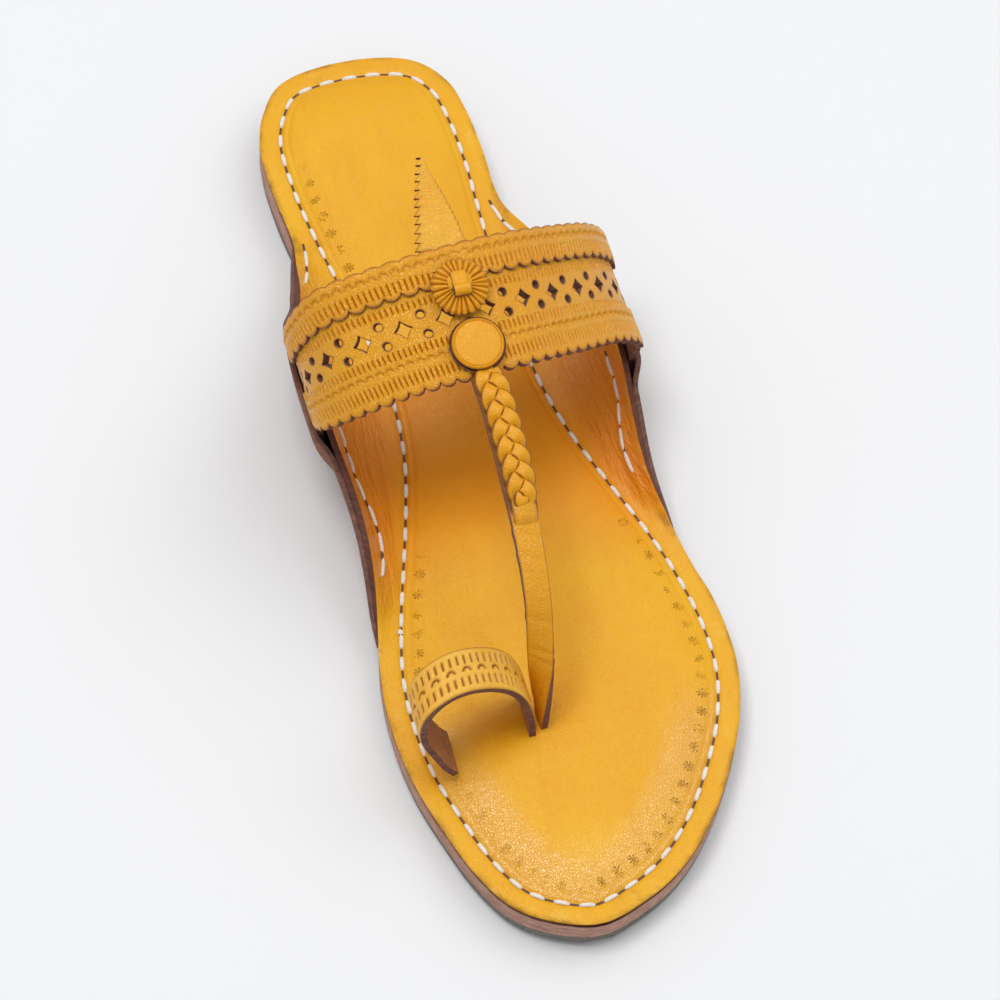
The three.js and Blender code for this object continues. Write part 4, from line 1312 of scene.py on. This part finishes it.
# %% [markdown]
# ## Toe loop
# The loop is a short strip of the same leather, stamped while flat with two rows of dashes and a row of
# small arcs between them, then bent into a hoop whose two ends go down through slits in the footbed.
# %% Toe loop
LOOP = [(-23.0, 12.4), (-25.3, 16.0), (-27.8, 21.5), (-30.3, 27.5), (-31.0, 32.8), (-29.3, 37.0),
        (-25.0, 39.6),
        (-19.0, 39.8), (-12.0, 36.9), (-6.6, 32.4), (-3.4, 27.3), (-1.7, 21.8), (-1.0, 16.8), (-0.9, 12.4)]
LOOP_WIDTH = 11.4
hoop, loop_length = by_length(np.array([(x, 0, z) for x, z in through(LOOP, 30)]), 401)


def loop_place(s, v):
    x = np.interp(s, np.linspace(0, loop_length, 401), hoop[:, 0])
    z = np.interp(s, np.linspace(0, loop_length, 401), hoop[:, 2])
    return np.stack([x, -171.6 + v + 0.26 * x + 0.2 * (z - 12), z], -1)


LOOP_DASH = 1.9
step = LOOP_DASH / 6
s = np.arange(0, loop_length, step)
v = np.linspace(0, LOOP_WIDTH, 36)
S, V = np.meshgrid(s, v)
dash_wave = np.clip(1.6 * np.cos(2 * math.pi * S / LOOP_DASH) - 0.5, 0, 1)


def press_dash(low, high):
    """A row of dashes between two lines across the loop."""
    return ease(V, low, low + 0.4) * (1 - ease(V, high - 0.4, high)) * dash_wave


cell = (S % 4.2) - 2.1
arc_ring = np.abs(np.hypot(cell, V - 5.5) - 0.95)
arc_row = np.clip(1.2 - arc_ring / 0.42, 0, 1) * ease(V, 5.2, 5.7)
loop_stamp = np.maximum.reduce([press_dash(1.5, 4.3), press_dash(7.2, 10.0), arc_row])
loop_rim = np.clip(1 - V / 0.6, 0, 1) + np.clip(1 - (LOOP_WIDTH - V) / 0.6, 0, 1)
surface = loop_place(S, V)
loop_normal = normals_of(surface)
if loop_normal[18, len(s) // 2, 2] < 0:
    loop_normal = -loop_normal
rounding = -0.3 * (np.clip(1 - V / 0.9, 0, 1) + np.clip(1 - (LOOP_WIDTH - V) / 0.9, 0, 1))
loop = sheet("toe_loop_band", surface,
             {"stamp": np.maximum(loop_stamp * 1.3, loop_rim), "flex": np.full(S.shape, 0.35)})
dress(loop, LEATHER_LOOP, EDGE_BROWN, LOOP_INSIDE)
thicken(loop, 1.9, inner=2)
emboss(loop, loop_normal * (-0.5 * loop_stamp + rounding)[..., None])
finish(loop, "toe_loop", angle=50)

# %% [markdown]
# ## Rosette and button
# The rosette is a disc of thin leather with a pinked rim, pleated from the middle outwards, and held by a
# short strap folded through its centre. The button is a plain slightly domed disc.
# %% Seats and discs
FLOWER = {"x": 0.3, "y": -82.4, "radius": 7.2, "teeth": 20}
BUTTON = {"x": 1.4, "y": -96.0, "radius": 6.3}
SLOPE = math.atan2(74.4 - 65.2, -72.6 + 101.7)


def seat(x, y, lift):
    """Place on the crown of the band, tilted with it."""
    z = 65.2 + math.tan(SLOPE) * (y + 101.7)
    tilt = Matrix.Rotation(SLOPE, 4, "X")
    return Matrix.Translation(Vector((x, y, z)) * MM) @ tilt @ Matrix.Translation((0, 0, lift * MM))


def polar(name, rings, around, radius, rise):
    """A disc as a sheet of rings and spokes, closed at its seam and its middle."""
    r = np.linspace(0, 1, rings)[None, :]
    a = np.linspace(0, 2 * math.pi, around + 1)[:, None]
    reach = radius(r, a)
    grid = np.stack([reach * np.cos(a), reach * np.sin(a), rise(r, a)], -1)
    piece = sheet(name, grid[::-1])
    bpy.ops.object.mode_set(mode="EDIT")
    bpy.ops.mesh.select_all(action="SELECT")
    bpy.ops.mesh.remove_doubles(threshold=2e-6)
    bpy.ops.mesh.normals_make_consistent(inside=False)
    bpy.ops.object.mode_set(mode="OBJECT")
    if piece.data.polygons[0].normal.z < 0:
        bpy.ops.object.mode_set(mode="EDIT")
        bpy.ops.mesh.select_all(action="SELECT")
        bpy.ops.mesh.flip_normals()
        bpy.ops.object.mode_set(mode="OBJECT")
    return piece


# %% The rosette
PETALS = 26


def petal(angle):
    """1 along the middle of each petal, 0 in the groove between two."""
    uneven = angle + 0.035 * np.sin(3 * angle + 0.7) + 0.02 * np.sin(7 * angle)
    return np.abs(np.sin(uneven * PETALS / 2)) ** 0.55


rosette = polar("rosette", 16, PETALS * 8, lambda r,
                a: r * (FLOWER["radius"] - 0.15 + 0.15 * np.sin(5 * a)
                        - 0.85 * (1 - petal(a)) * ease(r, 0.75, 1.0)),
                lambda r, a: 0.8 + 1.3 * (1 - r**1.6)
                + 0.85 * petal(a) * ease(r, 0.12, 0.55) * (1 - 0.3 * ease(r, 0.85, 1.0)))
p = points_of(rosette) / MM
note(rosette, "flex", np.full(len(p), 0.4))
spread = np.hypot(p[:, 0], p[:, 1])
note(rosette, "stamp", 1.1 * (1 - petal(np.arctan2(p[:, 1], p[:, 0]))) * ease(spread, 1.5, 4.0)
     + 0.8 * ease(spread, 6.3, 7.0))
dress(rosette, LEATHER_STAMPED, EDGE_BROWN)
thicken(rosette, 0.9)
rosette.data.transform(seat(FLOWER["x"], FLOWER["y"], 1.2))
finish(rosette, "flower", angle=60)


# %% The knot of the rosette
def tab(name, width, length, wall, lift, shift):
    """A short piece of strap with softened edges and brown cut sides, laid on the rosette."""
    only()
    bpy.ops.mesh.primitive_cube_add(size=1, location=(0, 0, 0), scale=(width * MM, length * MM, wall * MM))
    bpy.ops.object.transform_apply(location=False, rotation=False, scale=True)
    piece = named(name)
    dress(piece, LEATHER_PLAIN, EDGE_BROWN)
    bpy.ops.object.mode_set(mode="EDIT")
    bpy.ops.mesh.select_all(action="SELECT")
    bpy.ops.mesh.bevel(offset=0.34 * MM, segments=2, affect="EDGES")
    bpy.ops.mesh.subdivide(number_cuts=2)
    bpy.ops.object.mode_set(mode="OBJECT")
    for face in piece.data.polygons:
        face.material_index = int(abs(face.normal.z) < 0.9)
    p = points_of(piece)
    p[:, 2] -= 90.0 * p[:, 0] ** 2 + 60.0 * p[:, 1] ** 2
    press(piece, p)
    piece.data.transform(seat(FLOWER["x"], FLOWER["y"] + shift, lift))
    return piece


flap = tab("rosette_flap", 6.0, 3.2, 0.8, 4.0, 0.9)
strap_end = tab("rosette_tab", 3.9, 6.2, 0.8, 4.6, 0.4)
only()
bpy.ops.mesh.primitive_cylinder_add(vertices=24, radius=1.35 * MM, depth=4.3 * MM, location=(0, 0, 0),
                                    rotation=(0, math.pi / 2, 0))
bpy.ops.object.transform_apply(location=False, rotation=True, scale=False)
roll = named("rosette_roll")
apply(roll, "BEVEL", width=0.35 * MM, segments=3, limit_method="ANGLE", angle_limit=math.radians(60))
dress(roll, LEATHER_PLAIN, EDGE_BROWN)
for face in roll.data.polygons:
    face.material_index = int(abs(face.normal.x) > 0.6)
roll.data.transform(seat(FLOWER["x"], FLOWER["y"] - 1.2, 5.0))
knot = join("rosette_knot", [flap, strap_end, roll])
finish(knot, None)

button = polar("plain_button", 34, 72, lambda r, a: r * BUTTON["radius"] + 0 * a,
               lambda r, a: 1.6 + 0.5 * (1 - r**2) + 0.2 * np.exp(-(((r - 0.94) / 0.03) ** 2))
               - 0.14 * np.exp(-(((r - 0.88) / 0.02) ** 2)) - 0.45 * ease(r, 0.94, 1.0)
               + 0 * a)
p = points_of(button) / MM
note(button, "flex", np.full(len(p), 0.15))
spread = np.hypot(p[:, 0], p[:, 1]) / BUTTON["radius"]
note(button, "stamp", 0.5 * np.exp(-(((spread - 0.88) / 0.02) ** 2)) + 1.6 * ease(spread, 0.965, 0.995))
dress(button, LEATHER_PLAIN, EDGE_BROWN)
thicken(button, 1.7)
button.data.transform(seat(BUTTON["x"], BUTTON["y"], 0.9))
finish(button, "button", angle=50)

# %% [markdown]
# ## Floor, light and camera
# The sandal stands on pale paper. A soft key light hangs above it and a little to the left, a broad one stays
# overhead, and one from the right keeps the shadows open; the world gives a pale fill. Two small cards are
# seen only in the gloss of worked leather. The camera looks down at the toes, as a customer would.
# %% Floor
only()
bpy.ops.mesh.primitive_plane_add(size=6, location=(0, 0, 0))
floor = named("studio_floor")
f = Finish("paper_floor")
tint = f.noise(3, 2.0)
f.set(Base_Color=f.blend(tint, rgb(0.92, 0.92, 0.922), rgb(0.94, 0.94, 0.942)), Roughness=0.9,
      Specular_IOR_Level=0.1)
floor.data.materials.append(f.material)


# %% Lights
def softbox(name, where, aim, size, power):
    light = bpy.data.lights.new(name, "AREA")
    light.shape, light.size, light.size_y, light.energy = "RECTANGLE", size, size, power
    lamp = bpy.data.objects.new(name, light)
    bpy.context.collection.objects.link(lamp)
    lamp.location = where
    lamp.rotation_mode = "QUATERNION"
    lamp.rotation_quaternion = (Vector(aim) - Vector(where)).to_track_quat("-Z", "Y")
    return lamp


softbox("key_softbox", (-0.26, -0.06, 1.2), (0, -0.1, 0), 0.42, 4.5)
softbox("top_softbox", (0.05, 0.1, 1.4), (0, -0.1, 0), 1.7, 3.35)
softbox("right_softbox", (0.75, 0.1, 1.15), (0, -0.1, 0), 1.0, 3.3)
for name, where, size, power in (("left_card", (-0.24, 0.17, 1.18), 0.3, 8.0),
                                 ("right_card", (0.5, 0.22, 1.0), 0.3, 2.5)):
    softbox(name, where, (0, -0.2, 0), size, power).visible_diffuse = False
world = bpy.data.worlds.new("studio")
world.use_nodes = True
world.node_tree.nodes["Background"].inputs["Color"].default_value = (0.95, 0.97, 1.0, 1)
world.node_tree.nodes["Background"].inputs["Strength"].default_value = 0.49
bpy.context.scene.world = world
bpy.context.scene.view_settings.view_transform = "Standard"


# %% Camera
CAMERA = {"distance": 1.1977, "azimuth": 18.02, "elevation": 58.2, "roll": 4.45, "lens": 180.0}
AIM = Vector((0.0043, -0.1135, 0.025))
a, e = math.radians(CAMERA["azimuth"]), math.radians(CAMERA["elevation"])
back = Vector((-math.sin(a) * math.cos(e), -math.cos(a) * math.cos(e), math.sin(e)))
camera_data = bpy.data.cameras.new("camera")
camera = bpy.data.objects.new("camera", camera_data)
bpy.context.collection.objects.link(camera)
camera.location = AIM + back * CAMERA["distance"]
camera.rotation_mode = "QUATERNION"
roll = Matrix.Rotation(math.radians(CAMERA["roll"]), 3, "Z").to_quaternion()
camera.rotation_quaternion = (-back).to_track_quat("-Z", "Y") @ roll
camera_data.lens = CAMERA["lens"]
camera_data.clip_start = 0.05
bpy.context.scene.camera = camera
